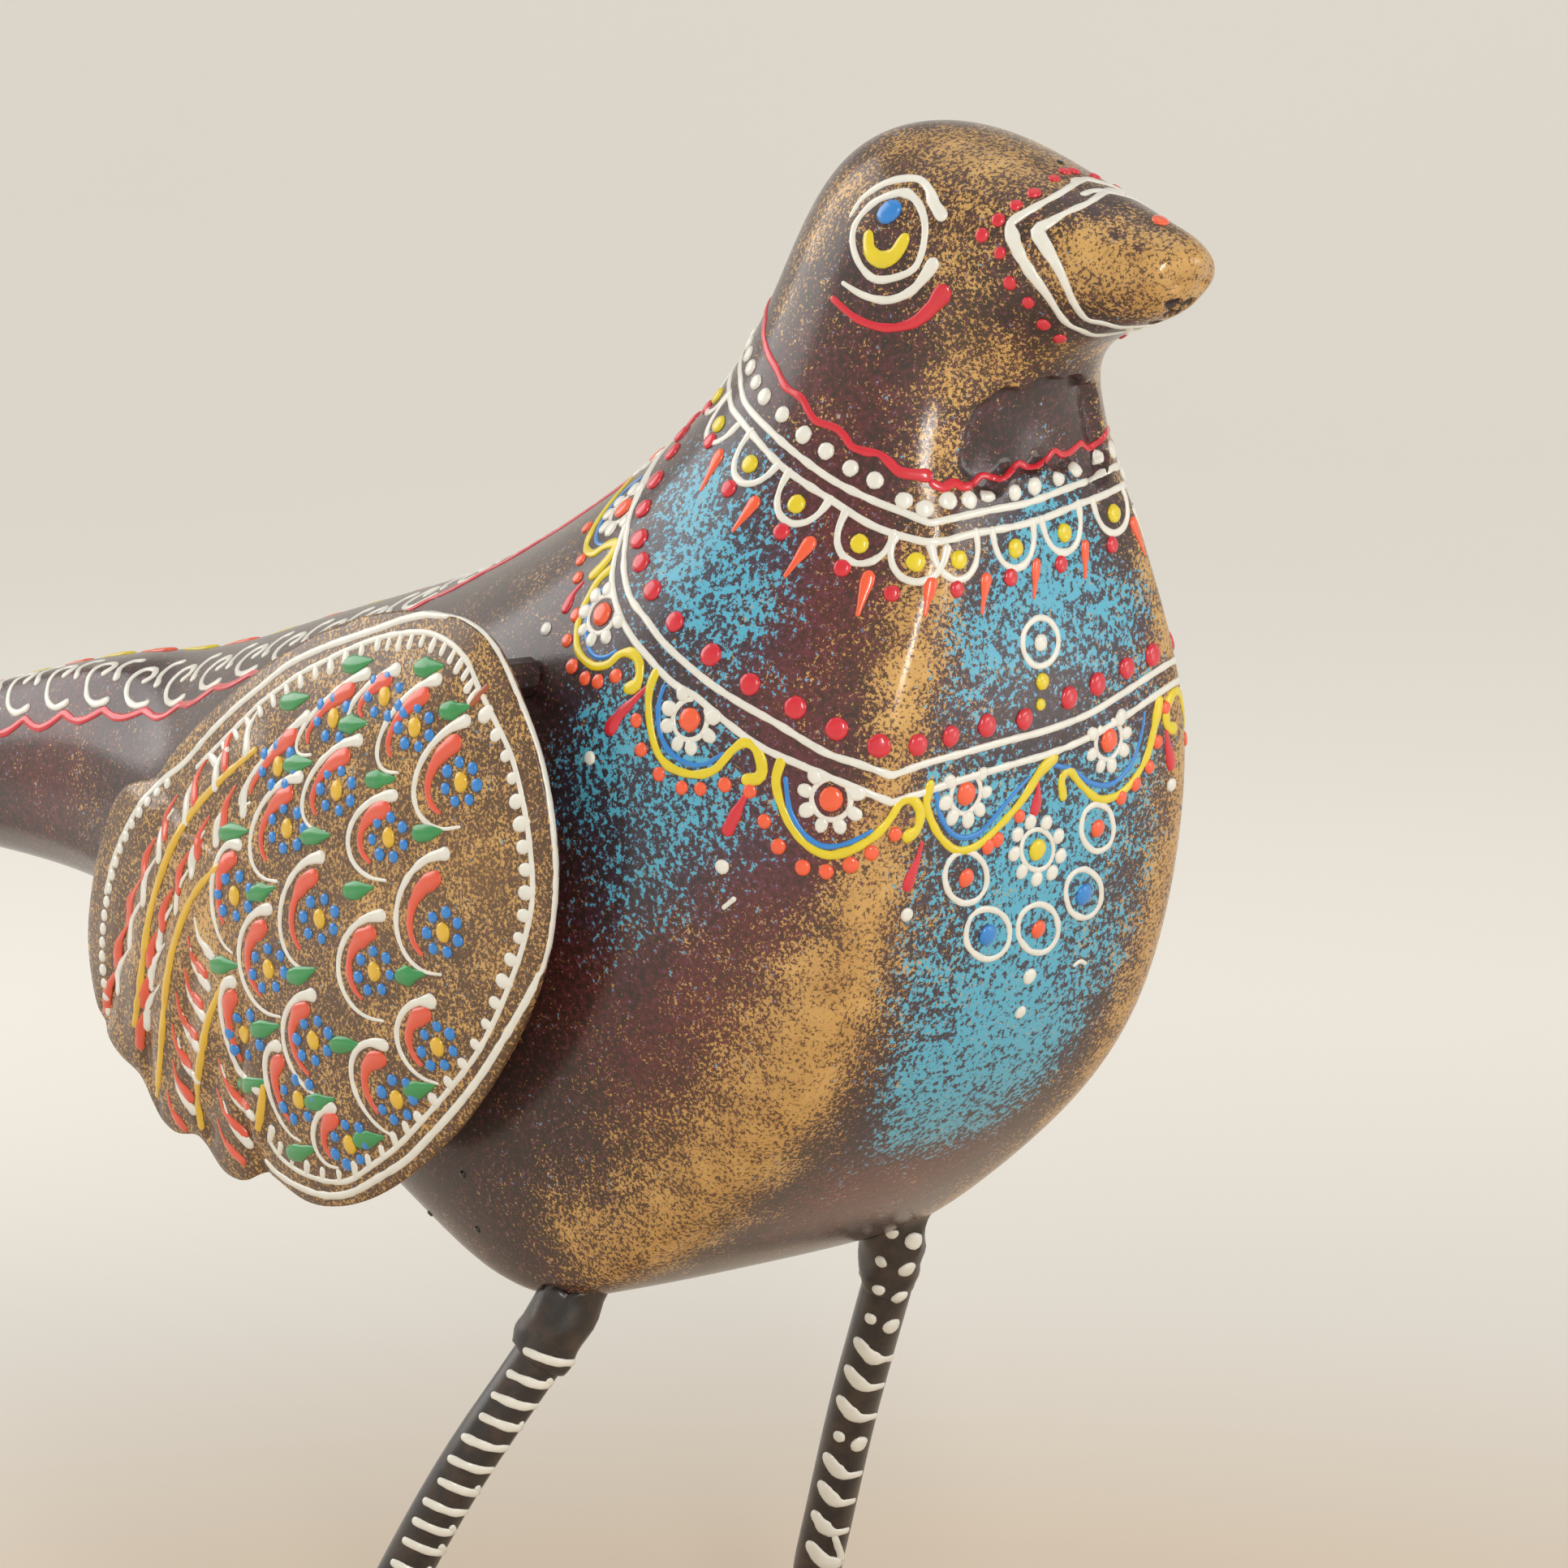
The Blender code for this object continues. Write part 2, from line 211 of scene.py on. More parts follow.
def flecks(tree, grain, density, softness):
    """Flecks of a grain, the more of them the higher the density."""
    level = maths(tree, "MULTIPLY_ADD", density, LEVEL_SPAN, BARE_LEVEL)
    above = maths(tree, "ADD", maths(tree, "SUBTRACT", grain, 1.0), level)
    node = add_node(tree, "ShaderNodeMath", operation="MULTIPLY_ADD", use_clamp=True)
    tree.links.new(above, node.inputs[0])
    node.inputs[1].default_value = 1.0 / softness
    node.inputs[2].default_value = 0.5
    return node.outputs[0]


def linear(red, green, blue):
    """A colour as seen on a screen, 0 to 255, as the shader's linear values."""
    return tuple(((c / 255 + 0.055) / 1.055) ** 2.4 if c > 10 else c / 255 / 12.92
                 for c in (red, green, blue))


BROWN_BLACK = linear(36, 20, 12)
MAROON = linear(100, 28, 24)
VIOLET = linear(96, 66, 130)
DEEP_BLUE = linear(50, 112, 140)
TURQUOISE = linear(80, 174, 204)
BRONZE = linear(228, 186, 114)
BRONZE_DARK = linear(168, 118, 52)


def attribute_node(tree, name):
    node = add_node(tree, "ShaderNodeAttribute", attribute_name=name)
    return node.outputs["Fac"]


def thin_coat(tree, density, most):
    """How much of a thin even coat lies under the flecks: it comes in where they are dense."""
    return maths(tree, "MULTIPLY", maths(tree, "MULTIPLY", density, density), most)


def set_gloss(shader, roughness, coat, coat_roughness):
    shader.inputs["Roughness"].default_value = roughness
    shader.inputs["Coat Weight"].default_value = coat
    shader.inputs["Coat Roughness"].default_value = coat_roughness


def add_bump(tree, shader, height, strength, distance):
    """Gives the shader a fine relief from a height, and returns the relief's normal."""
    bump = add_node(tree, "ShaderNodeBump")
    bump.inputs["Strength"].default_value = strength
    bump.inputs["Distance"].default_value = distance
    tree.links.new(height, bump.inputs["Height"])
    tree.links.new(bump.outputs["Normal"], shader.inputs["Normal"])
    return bump.outputs["Normal"]


# The lacquer: how sharp its clouds and its flecks are, how strong the thin coats under the
# flecks are, how far the flecks are thinned out, and the share of metal in the bronze
CLOUD_EDGE = 0.3
FLECK_EDGE = 0.03
VIOLET_HAZE = 0.28
THIN_BLUE = 0.12
FEWER_BLUE = 0.11
FEWER_GOLD = 0.06
METAL_SHARE = 0.3


def speckled_lacquer(name, thin_gold):
    """Dark lacquer with clouds of maroon, turquoise flecks and bronze flecks, all clear coated.

    Where each lies comes from the mesh's own attributes gold, blue and maroon."""
    material, tree, shader = principled(name)
    gold, blue, maroon = (attribute_node(tree, n) for n in ("gold", "blue", "maroon"))
    clouds = noise_node(tree, scale=170, detail=3, roughness=0.6)
    fine = noise_node(tree, scale=1800, detail=3, roughness=0.75)
    coarse = noise_node(tree, scale=1080, detail=3, roughness=0.7)
    drift = maths(tree, "SUBTRACT", clouds, 0.5)
    reddish = flecks(tree, coarse, maths(tree, "ADD", maroon, drift), CLOUD_EDGE)
    ground = mix_colour(tree, reddish, BROWN_BLACK, MAROON)
    haze = maths(tree, "MULTIPLY", flecks(tree, coarse, blue, CLOUD_EDGE), VIOLET_HAZE)
    ground = mix_colour(tree, haze, ground, VIOLET)
    ground = mix_colour(tree, thin_coat(tree, blue, THIN_BLUE), ground, DEEP_BLUE)
    ground = mix_colour(tree, thin_coat(tree, gold, thin_gold), ground, BRONZE_DARK)
    blue_density = maths(tree, "ADD", blue, maths(tree, "SUBTRACT", drift, FEWER_BLUE))
    blue_mask = flecks(tree, coarse, blue_density, FLECK_EDGE)
    ground = mix_colour(tree, blue_mask, ground, TURQUOISE)
    gold_density = maths(tree, "ADD", gold, maths(tree, "SUBTRACT", drift, FEWER_GOLD))
    gold_mask = flecks(tree, fine, gold_density, FLECK_EDGE)
    metal = mix_colour(tree, clouds, BRONZE_DARK, BRONZE)
    tree.links.new(mix_colour(tree, gold_mask, ground, metal), shader.inputs["Base Color"])
    tree.links.new(maths(tree, "MULTIPLY", gold_mask, METAL_SHARE), shader.inputs["Metallic"])
    set_gloss(shader, roughness=0.6, coat=0.7, coat_roughness=0.1)
    relief = add_bump(tree, shader, fine, strength=0.3, distance=0.1 * MM)
    tree.links.new(relief, shader.inputs["Coat Normal"])
    return material


ENAMEL_SHADE = 0.80


def enamel(name, colour):
    """Thick glossy paint, whose colour shifts a little to a darker shade from place to place."""
    material, tree, shader = principled(name)
    patches = noise_node(tree, scale=420)
    darker = tuple(c * ENAMEL_SHADE for c in colour)
    tree.links.new(mix_colour(tree, patches, colour, darker), shader.inputs["Base Color"])
    set_gloss(shader, roughness=0.3, coat=0.6, coat_roughness=0.08)
    return material


def black_enamel(name):
    """Brushed-on black paint over iron, brown where it is thin."""
    material, tree, shader = principled(name)
    thin = noise_node(tree, scale=260, detail=4, roughness=0.65)
    share = flecks(tree, thin, noise_node(tree, scale=60), softness=0.2)
    colour = mix_colour(tree, share, linear(34, 29, 27), linear(62, 46, 36))
    tree.links.new(colour, shader.inputs["Base Color"])
    set_gloss(shader, roughness=0.42, coat=0.4, coat_roughness=0.2)
    add_bump(tree, shader, thin, strength=0.4, distance=0.3 * MM)
    return material


PIXELS_PER_MM = 8.3

# Sprayed clouds: pixel place, radius in pixels and how dense its middle is
BODY_GOLD = (
    (1120, 180, 75, 0.62), (1200, 180, 60, 0.6), (1270, 210, 60, 0.6), (1040, 240, 50, 0.6),
    (1000, 300, 45, 0.55), (970, 370, 35, 0.5), (1180, 260, 70, 0.45), (1180, 340, 60, 0.4),
    (1330, 320, 60, 0.85), (1400, 330, 60, 0.9), (1460, 350, 50, 0.95), (1200, 430, 50, 0.55),
    (1160, 480, 40, 0.55), (1240, 460, 35, 0.6), (1310, 430, 30, 0.7), (1155, 560, 36, 0.75),
    (1150, 620, 30, 0.8), (1140, 690, 30, 0.8), (1125, 760, 34, 0.85), (1112, 830, 38, 0.85),
    (1105, 900, 36, 0.8), (1095, 970, 36, 0.8), (1085, 1040, 42, 0.85), (1075, 1110, 50, 0.85),
    (1050, 1180, 60, 0.85), (1020, 1250, 75, 0.85), (980, 1320, 85, 0.85),
    (930, 1390, 85, 0.85), (880, 1450, 85, 0.85), (830, 1520, 85, 0.85), (760, 1560, 75, 0.7),
    (700, 1520, 70, 0.5), (1415, 700, 26, 0.7), (1435, 780, 26, 0.7), (1450, 870, 26, 0.7),
    (1455, 960, 24, 0.75), (1450, 1050, 28, 0.85), (1440, 1140, 32, 0.85),
    (1415, 1220, 34, 0.85), (1370, 1290, 34, 0.75), (1160, 720, 75, 0.3), (1170, 850, 75, 0.3),
    (1050, 800, 70, 0.25), (1150, 1000, 75, 0.3), (1140, 1120, 75, 0.3), (1170, 1230, 70, 0.15),
    (1010, 470, 80, 0.15), (900, 1230, 90, 0.25), (780, 1400, 80, 0.3),
    (650, 740, 60, 0.3), (560, 800, 80, 0.25), (300, 900, 90, 0.2), (100, 960, 90, 0.2),
)
BODY_BLUE = (
    (860, 600, 75, 0.75), (850, 690, 80, 0.85), (900, 760, 80, 0.75), (940, 680, 60, 0.55),
    (940, 570, 45, 0.4), (760, 900, 75, 0.8), (850, 970, 85, 0.8), (800, 1070, 80, 0.6),
    (720, 980, 70, 0.55), (930, 1020, 70, 0.4), (740, 1130, 60, 0.3),
    (1300, 650, 60, 0.6), (1280, 730, 80, 0.75), (1370, 760, 60, 0.65),
    (1230, 820, 65, 0.55), (1240, 1000, 75, 0.7), (1330, 1050, 80, 0.8), (1390, 960, 55, 0.65),
    (1250, 1120, 75, 0.85), (1220, 1220, 85, 0.97), (1180, 1310, 85, 0.97), (1280, 1290, 75, 0.95),
    (1130, 1390, 75, 0.8), (1360, 1180, 55, 0.6), (1405, 740, 40, 0.55), (1415, 830, 40, 0.55),
    (1418, 930, 36, 0.5), (1410, 1040, 45, 0.55), (1385, 1120, 50, 0.55),
)
BODY_MAROON = (
    (1010, 640, 90, 0.8), (1010, 760, 90, 0.9), (960, 870, 80, 0.8), (980, 1010, 90, 0.9),
    (930, 1120, 90, 0.85), (860, 1240, 100, 0.9), (790, 1330, 80, 0.6), (1080, 480, 90, 0.4),
    (1000, 480, 60, 0.5), (1190, 850, 60, 0.4), (1050, 1480, 90, 0.8), (1150, 1440, 90, 0.6),
    (300, 960, 120, 0.7), (60, 940, 120, 0.8), (500, 880, 100, 0.6), (700, 1180, 90, 0.4),
)
WING_GOLD = (
    (585, 1070, 60, 0.35), (455, 1110, 60, 0.3), (480, 960, 70, 0.2), (250, 1150, 120, 0.35),
    (620, 1190, 30, 0.3),
)
WING_BLUE = ((596, 890, 18, 0.45), (606, 960, 16, 0.35), (340, 1175, 32, 0.35), (655, 1010, 10, 0.4))


# How often the nearest point of the surface is sought again, for a pixel past the outline
NEAREST_ROUNDS = 4


def cast(tree, px, py):
    """Where the pixel's ray meets the surface; past the outline, the surface's nearest point."""
    ray = photo_ray(px, py)
    place = tree.ray_cast(EYE, ray)[0]
    if place is None:
        reach = DISTANCE
        for _ in range(NEAREST_ROUNDS):
            place = tree.find_nearest(EYE + ray * reach)[0]
            reach = (place - EYE).dot(ray)
    return place


def mirrored(point):
    return Vector((-point.x, point.y, point.z))


def clamped(share):
    return min(max(share, 0.0), 1.0)


def turns(span, steps):
    """Even turns from 0 to the span, both included."""
    return [span * i / steps for i in range(steps + 1)]


def on_oval(middle, sizes, turn):
    """The pixel at that turn on an upright oval, from its middle and its half sizes."""
    return middle[0] + sizes[0] * math.cos(turn), middle[1] + sizes[1] * math.sin(turn)


def metres(pixels):
    """A length that is given in pixels of the photograph, at the breast."""
    return pixels / PIXELS_PER_MM * MM


def points_of(mesh):
    places = numpy.empty(len(mesh.vertices) * 3)
    mesh.vertices.foreach_get("co", places)
    return places.reshape(-1, 3)


def move_points(mesh, places):
    mesh.vertices.foreach_set("co", places.ravel())
    mesh.update()


# How fast a cloud thins out, how bare a spot can be, and how steep a patch's edge is
CLOUD_FALL = 0.9
MOST_BARE = 0.97
PATCH_STEEPNESS = 5.5
PATCH_START = 1.9


def nearness(places, spot, radius):
    """For each place, 1 at the spot, falling to 0 over about twice the radius in pixels."""
    away = ((places - numpy.array(spot)) ** 2).sum(axis=1) / metres(radius) ** 2
    return numpy.exp(-CLOUD_FALL * away)


def both_sides(tree, spots):
    """For each spot, its place on the seen side and on the other, its radius and its amount."""
    for px, py, radius, amount in spots:
        place = cast(tree, px, py)
        yield place, radius, amount
        yield mirrored(place), radius, amount


def spray(mesh, name, tree, clouds, base, bare_spots=()):
    """Writes an attribute: a base, and on it each cloud, on both sides of the bird."""
    places = points_of(mesh)
    bare = numpy.ones(len(places))
    for place, radius, amount in both_sides(tree, clouds):
        bare *= 1.0 - amount * nearness(places, place, radius)
    shown = 1.0 - numpy.minimum(patch(places, tree, bare_spots), MOST_BARE)
    amounts = (base + (1.0 - base) * (1.0 - bare)) * shown
    layer = mesh.attributes.new(name, "FLOAT", "POINT")
    layer.data.foreach_set("value", amounts)


def patch(places, tree, spots):
    """For each place, the amount of the patch it lies in. The patches' edges are fairly sharp."""
    most = numpy.zeros(len(places))
    for place, radius, amount in both_sides(tree, spots):
        near = nearness(places, place, radius) * PATCH_STEEPNESS - PATCH_START
        most = numpy.maximum(most, amount * numpy.clip(near, 0.0, 1.0))
    return most


def press(mesh, tree, dents, steep):
    """Pushes the surface in by each dent's depth in mm, or out where the depth is negative."""
    places = points_of(mesh)
    inward = numpy.array([-v.normal for v in mesh.vertices])
    depth = numpy.zeros(len(places))
    for place, radius, amount in both_sides(tree, dents):
        depth += amount * MM * nearness(places, place, radius)
    depth += patch(places, tree, steep) * MM
    move_points(mesh, places + inward * depth[:, None])


# Raised enamel: lines and dots of thick paint, laid on a surface

# A bead's cross-section: across in half widths, and up in shares of its height
BEAD = ((-1.0, -0.3), (-0.93, 0.35), (-0.62, 0.82), (0.0, 1.0), (0.62, 0.82), (0.93, 0.35),
        (1.0, -0.3))
# A dot's profile from rim to top: out in radii, and up in shares of its height
DOME = ((1.0, -0.3), (0.97, 0.34), (0.80, 0.76), (0.50, 0.95), (0.18, 1.0))
DOME_RIM = 0.9
# Heights in shares of the half width or radius, and the size at which wet paint sinks to half
BEAD_RISE = 0.60
BEAD_SINKS = 1.6 * MM
DOT_RISE = 0.56
DOT_SINKS = 3.2 * MM
# A line's width swells by a share, in waves along its steps; a dot's rim wobbles by a share
SWELL = 0.28
SWELL_PER_STEP = 0.37
PHASES = 100
DOT_WOBBLE = 0.05
SMALL_DOT = 1.0 * MM
SMALL_DOT_SIDES = 9
DOT_SIDES = 12
RADIUS_SPREAD = 0.07
STROKE_STEP = 0.75 * MM
END_TURNS = tuple(math.radians(turn) for turn in (30, 60, 82))
LINE = 9.5
CURVE_STEPS = 6


def curve_point(a, b, c, d, t):
    return 0.5 * (2 * b + (c - a) * t + (2 * a - 5 * b + 4 * c - d) * t * t
                  + (3 * b - a - 3 * c + d) * t ** 3)


def smooth_route(points, closed=False):
    """A smooth curve through the points."""
    points = [Vector(p) for p in points]
    last = len(points) - 1
    route = []
    for i in range(last + 1 if closed else last):
        if closed:
            near = [points[(i + k) % len(points)] for k in (-1, 0, 1, 2)]
        else:
            near = [points[min(max(i + k, 0), last)] for k in (-1, 0, 1, 2)]
        route += [curve_point(*near, step / CURVE_STEPS) for step in range(CURVE_STEPS)]
    route.append(route[0].copy() if closed else points[-1].copy())
    return route


def even_route(route, step):
    """The same route, walked in even steps."""
    lengths = [0.0]
    for a, b in zip(route, route[1:]):
        lengths.append(lengths[-1] + (b - a).length)
    count = max(2, round(lengths[-1] / step))
    walked = []
    k = 0
    for i in range(count + 1):
        want = lengths[-1] * i / count
        while k < len(lengths) - 2 and lengths[k + 1] < want:
            k += 1
        gap = lengths[k + 1] - lengths[k]
        walked.append(route[k].lerp(route[k + 1], (want - lengths[k]) / gap if gap else 0.0))
    return walked


def along_shape(shape, share):
    """The value at that share of the way along a list of values."""
    spot = share * (len(shape) - 1)
    k = min(int(spot), len(shape) - 2) if len(shape) > 1 else 0
    after = shape[min(k + 1, len(shape) - 1)]
    return shape[k] + (after - shape[k]) * (spot - k)


class Painter:
    """Lays raised enamel on one surface. Each colour's strokes are gathered in one mesh.

    Sizes are in pixels of the photograph at the breast. Each stroke is also laid once more for
    each of the movers in twins, which carry a place to the bird's other side."""

    def __init__(self, area, tree, seed):
        self.area = area
        self.tree = tree
        self.chance = random.Random(seed)
        self.colours = {}
        self.twins = ()

    def spot(self, px, py):
        return cast(self.tree, px, py)

    def route(self, pixels, closed=False):
        """The places of a smooth curve through pixels of the photograph."""
        return [self.spot(*p) for p in smooth_route(pixels, closed)]

    def gather(self, colour, rings, closed=False):
        """Adds the skin between the rings, with a face over each open end."""
        places, faces = self.colours.setdefault(colour, ([], []))
        start, count = len(places), len(rings[0])
        for ring in rings:
            places.extend(ring)
        for i in range(len(rings) if closed else len(rings) - 1):
            here = start + i * count
            there = start + (i + 1) % len(rings) * count
            for j in range(count):
                k = (j + 1) % count
                faces.append((here + j, here + k, there + k, there + j))
        if not closed:
            faces.append([start + j for j in reversed(range(count))])
            faces.append([start + (len(rings) - 1) * count + j for j in range(count)])

    def bead(self, place, along, half):
        """The points of a bead's cross-section on the surface."""
        foot, up = self.tree.find_nearest(place)[:2]
        across = up.cross(along).normalized() * half
        height = BEAD_RISE * half / (1 + half / BEAD_SINKS)
        ring = []
        for out, rise in BEAD:
            ground, normal = self.tree.find_nearest(foot + across * out)[:2]
            ring.append(ground + normal * (rise * height))
        return ring

    def lay_line(self, colour, route, width, shape, closed):
        walked = even_route(route, STROKE_STEP)
        last = len(walked) - 1
        if closed:
            walked.pop()
        phase = self.chance.uniform(0, PHASES)
        stations = []
        for i, place in enumerate(walked):
            before = walked[i - 1 if closed or i else 0]
            after = walked[(i + 1) % len(walked) if closed else min(i + 1, last)]
            swell = 1 + SWELL * noise.noise(Vector((phase + i * SWELL_PER_STEP, 0, 0)))
            half = width / 2 * along_shape(shape, i / last) * swell
            stations.append((place, (after - before).normalized(), half))
        rings = [self.bead(*station) for station in stations]
        if not closed:
            for end, sign in ((0, -1), (-1, 1)):
                place, along, half = stations[end]
                for turn in END_TURNS:
                    tip = place + along * (sign * half * math.sin(turn))
                    ring = self.bead(tip, along, half * math.cos(turn))
                    rings.insert(0 if sign < 0 else len(rings), ring)
        self.gather(colour, rings, closed)

    def line(self, colour, places, width=LINE, shape=(1.0,), closed=False):
        """A bead of paint through places on the surface."""
        width = metres(width)
        self.lay_line(colour, places, width, shape, closed)
        for twin in self.twins:
            self.lay_line(colour, [twin(place) for place in places], width, shape, closed)

    def lay_dot(self, colour, place, radius, along, stretch):
        foot, up = self.tree.find_nearest(place)[:2]
        first = (along - up * along.dot(up)).normalized()
        second = up.cross(first)
        sides = DOT_SIDES if radius > SMALL_DOT else SMALL_DOT_SIDES
        wobble = [1 + self.chance.uniform(-DOT_WOBBLE, DOT_WOBBLE) for _ in range(sides)]
        height = DOT_RISE * radius / (1 + radius / DOT_SINKS)
        rings = []
        for share, rise in DOME:
            ring = []
            for i, turn in enumerate(turns(math.tau, sides)[:-1]):
                reach = radius * share * wobble[i]
                out = first * (math.cos(turn) * stretch) + second * math.sin(turn)
                ground, normal = self.tree.find_nearest(foot + out * reach)[:2]
                lift = normal if share > DOME_RIM else up
                ring.append(ground + lift * (rise * height))
            rings.append(ring)
        self.gather(colour, rings)

    def dot(self, colour, place, radius, along=RIGHT, stretch=1.0):
        """A domed dot of paint, stretched along a direction."""
        radius = metres(radius)
        self.lay_dot(colour, place, radius, along, stretch)
        for twin in self.twins:
            flipped = Vector((-along.x, along.y, along.z))
            self.lay_dot(colour, twin(place), radius, flipped, stretch)

    def drawn(self, colour, pixels, width=LINE, shape=(1.0,), closed=False):
        """A bead of paint through pixels of the photograph."""
        self.line(colour, self.route(pixels, closed), width, shape, closed)

    def dots(self, colour, pixels, radius):
        for px, py in pixels:
            spread = self.chance.uniform(1 - RADIUS_SPREAD, 1 + RADIUS_SPREAD)
            self.dot(colour, self.spot(px, py), radius * spread)

    def finish(self, paints, slot):
        """Makes the pieces, one for each colour."""
        for colour, (places, faces) in self.colours.items():
            mesh = bpy.data.meshes.new("%s_%s" % (self.area, colour))
            mesh.from_pydata(places, [], faces)
            bm = bmesh.new()
            bm.from_mesh(mesh)
            bmesh.ops.recalc_face_normals(bm, faces=bm.faces)
            bm.to_mesh(mesh)
            bm.free()
            mesh.shade_smooth()
            add_piece(mesh, paints[colour], slot)


# The bands round the neck and the breast. Behind the neck a band runs over a few places on the
# way to the middle of the back, which a ray finds from that far behind the band's end.
BEHIND = 0.3
SHARES_BEHIND = (0.3, 0.6)


def band_mover(corner, far_end, back):
    """Carries the right side's places to the left, where the bands start higher in front."""
    lift = far_end.z - corner.z

    def move(place):
        fade = (back.y - place.y) / (back.y - corner.y)
        return Vector((-place.x, place.y, place.z + lift * clamped(fade)))
    return move


def round_the_back(tree, start, corner):
    """From a place on the right side to the middle of the back, in the band's own plane."""
    slope = (start.z - corner.z) / (start.y - corner.y)
    far = Vector((0.0, start.y + BEHIND, start.z + slope * BEHIND))
    middle = tree.ray_cast(far, Vector((0.0, -1.0, -slope)))[0]
    return [tree.find_nearest(start.lerp(middle, share))[0] for share in SHARES_BEHIND] + [middle]


def girdle(brush, right, front):
    """A closed white line round the bird, from pixels on its right side and on its front.

    Returns its places on the right, in front and from there to the back, and the band's mover."""
    seen, breast = brush.route(right), brush.route(front)
    move = band_mover(seen[-1], breast[-1], seen[0])
    behind = round_the_back(brush.tree, seen[0], seen[-1])
    route = behind[::-1] + seen + breast[1:] + [move(p) for p in reversed(seen)]
    route += [mirrored(p) for p in behind[:-1]]
    brush.line("white", route + [route[0]], closed=True)
    return seen, breast, behind, move


def nearest_on(route, place):
    """The route's nearest point to a place, and the route's direction there."""
    k = min(range(len(route)), key=lambda i: (route[i] - place).length)
    ahead = route[min(k + 1, len(route) - 1)] - route[max(k - 1, 0)]
    return route[k], ahead.normalized()


def local_axes(brush, route, place):
    """On the line: its nearest point, its direction, and the way from it to the place."""
    root, along = nearest_on(route, place)
    up = brush.tree.find_nearest(root)[1]
    down = up.cross(along).normalized()
    if down.dot(place - root) < 0:
        down = -down
    return root, along, down


SCALLOP_WIDTH = 8.2 * MM
SCALLOP_DEPTH = 5.9 * MM
SCALLOP_FULLNESS = 0.8
SCALLOP_DOT = 12
SCALLOP_DOT_DEPTH = 0.52
BOW_STEPS = 12


def scallop(brush, route, place):
    """A hanging loop from the line with a yellow dot in it."""
    root, along, down = local_axes(brush, route, place)
    points = []
    for turn in turns(math.pi, BOW_STEPS):
        reach = math.cos(turn) * SCALLOP_WIDTH / 2
        drop = math.sin(turn) ** SCALLOP_FULLNESS * SCALLOP_DEPTH
        points.append(root + along * reach + down * drop)
    brush.line("white", points, 9, (1.3, 0.9, 1.0, 1.1, 1.0, 0.9, 1.3))
    brush.dot("yellow", root + down * SCALLOP_DEPTH * SCALLOP_DOT_DEPTH, SCALLOP_DOT)


NECK_RED_RIGHT = (
    (943, 391), (941, 415), (947, 437), (957, 455), (968, 477), (987, 490), (996, 506),
    (1006, 519), (1029, 527), (1041, 538), (1049, 550), (1068, 557), (1083, 559), (1098, 572),
    (1110, 582), (1140, 586),
)
NECK_RED_FRONT = (
    (1150, 596), (1163, 601), (1175, 594), (1186, 600), (1198, 597), (1209, 586), (1221, 588),
    (1236, 590), (1246, 580), (1255, 571), (1266, 576), (1278, 574), (1290, 566), (1299, 555),
    (1307, 560), (1316, 559), (1325, 552), (1332, 546), (1339, 552), (1345, 550), (1358, 541),
    (1366, 527),
)
NECK_DOTS_RIGHT = (
    (932, 471), (942, 489), (964, 511), (990, 536), (1018, 556), (1048, 577), (1078, 592),
    (1114, 617), (1139, 627),
)
NECK_DOTS_FRONT = (
    (1168, 617), (1194, 616), (1216, 612), (1250, 607), (1274, 599), (1304, 589), (1325, 578),
    (1349, 564), (1369, 554),
)
NECK_UPPER_RIGHT = (
    (912, 462), (918, 496), (949, 531), (987, 564), (1028, 593), (1074, 616), (1115, 632),
    (1146, 645),
)
NECK_UPPER_FRONT = (
    (1146, 645), (1182, 637), (1223, 628), (1265, 620), (1306, 605), (1347, 589), (1389, 566),
)
NECK_LOWER_RIGHT = (
    (902, 504), (925, 533), (958, 570), (991, 595), (1024, 616), (1066, 643), (1099, 657),
    (1140, 668),
)
NECK_LOWER_FRONT = (
    (1140, 668), (1165, 666), (1202, 657), (1248, 649), (1285, 639), (1327, 622), (1360, 610),
    (1393, 593),
)
NECK_SCALLOPS_RIGHT = ((894, 518), (930, 562), (986, 615), (1060, 661), (1126, 693))
NECK_SCALLOPS_FRONT = ((1183, 688), (1247, 672), (1310, 652), (1369, 621))
NECK_DROPS_RIGHT = (
    ((885, 562), (864, 603)), ((929, 620), (904, 653)), ((997, 670), (968, 709)),
    ((1070, 711), (1057, 757)),
)
NECK_DROPS_FRONT = (
    ((1147, 719), (1140, 757)), ((1215, 715), (1210, 755)), ((1277, 695), (1274, 736)),
    ((1337, 672), (1337, 711)), ((1397, 645), (1410, 682)),
)
NECK_BEADS_RIGHT = ((898, 602), (963, 655), (1038, 700), (1099, 731))
NECK_BEADS_FRONT = ((1179, 726), (1245, 711), (1307, 695), (1370, 671))
NECK_DOT = 11
# How far apart the marks stand behind the neck, which the photograph doesn't show
SCALLOP_PITCH = 10.7 * MM
NECK_DOT_PITCH = 3.9 * MM
BAND_DOT_PITCH = 5.6 * MM
FESTOON_PITCH = 15.0 * MM


def neck_marks(brush, dots, beads, drops, width):
    """White dots over the line, red beads under it, and orange drops drawn out to a tail."""
    brush.dots("white", dots, NECK_DOT)
    brush.dots("red", beads, NECK_DOT)
    for head_and_tail in drops:
        places = [brush.spot(*p) for p in head_and_tail]
        brush.line("orange", places, width, (1.0, 0.8, 0.45, 0.3))


def places_behind(brush, row, pitch):
    """Even places from a row's first seen pixel to the middle of the back, and their mirrors."""
    start = brush.spot(*row[0])
    behind = round_the_back(brush.tree, start, brush.spot(*row[-1]))
    places = even_route([start] + behind, pitch)[1:]
    return places + [mirrored(place) for place in places[:-1]]


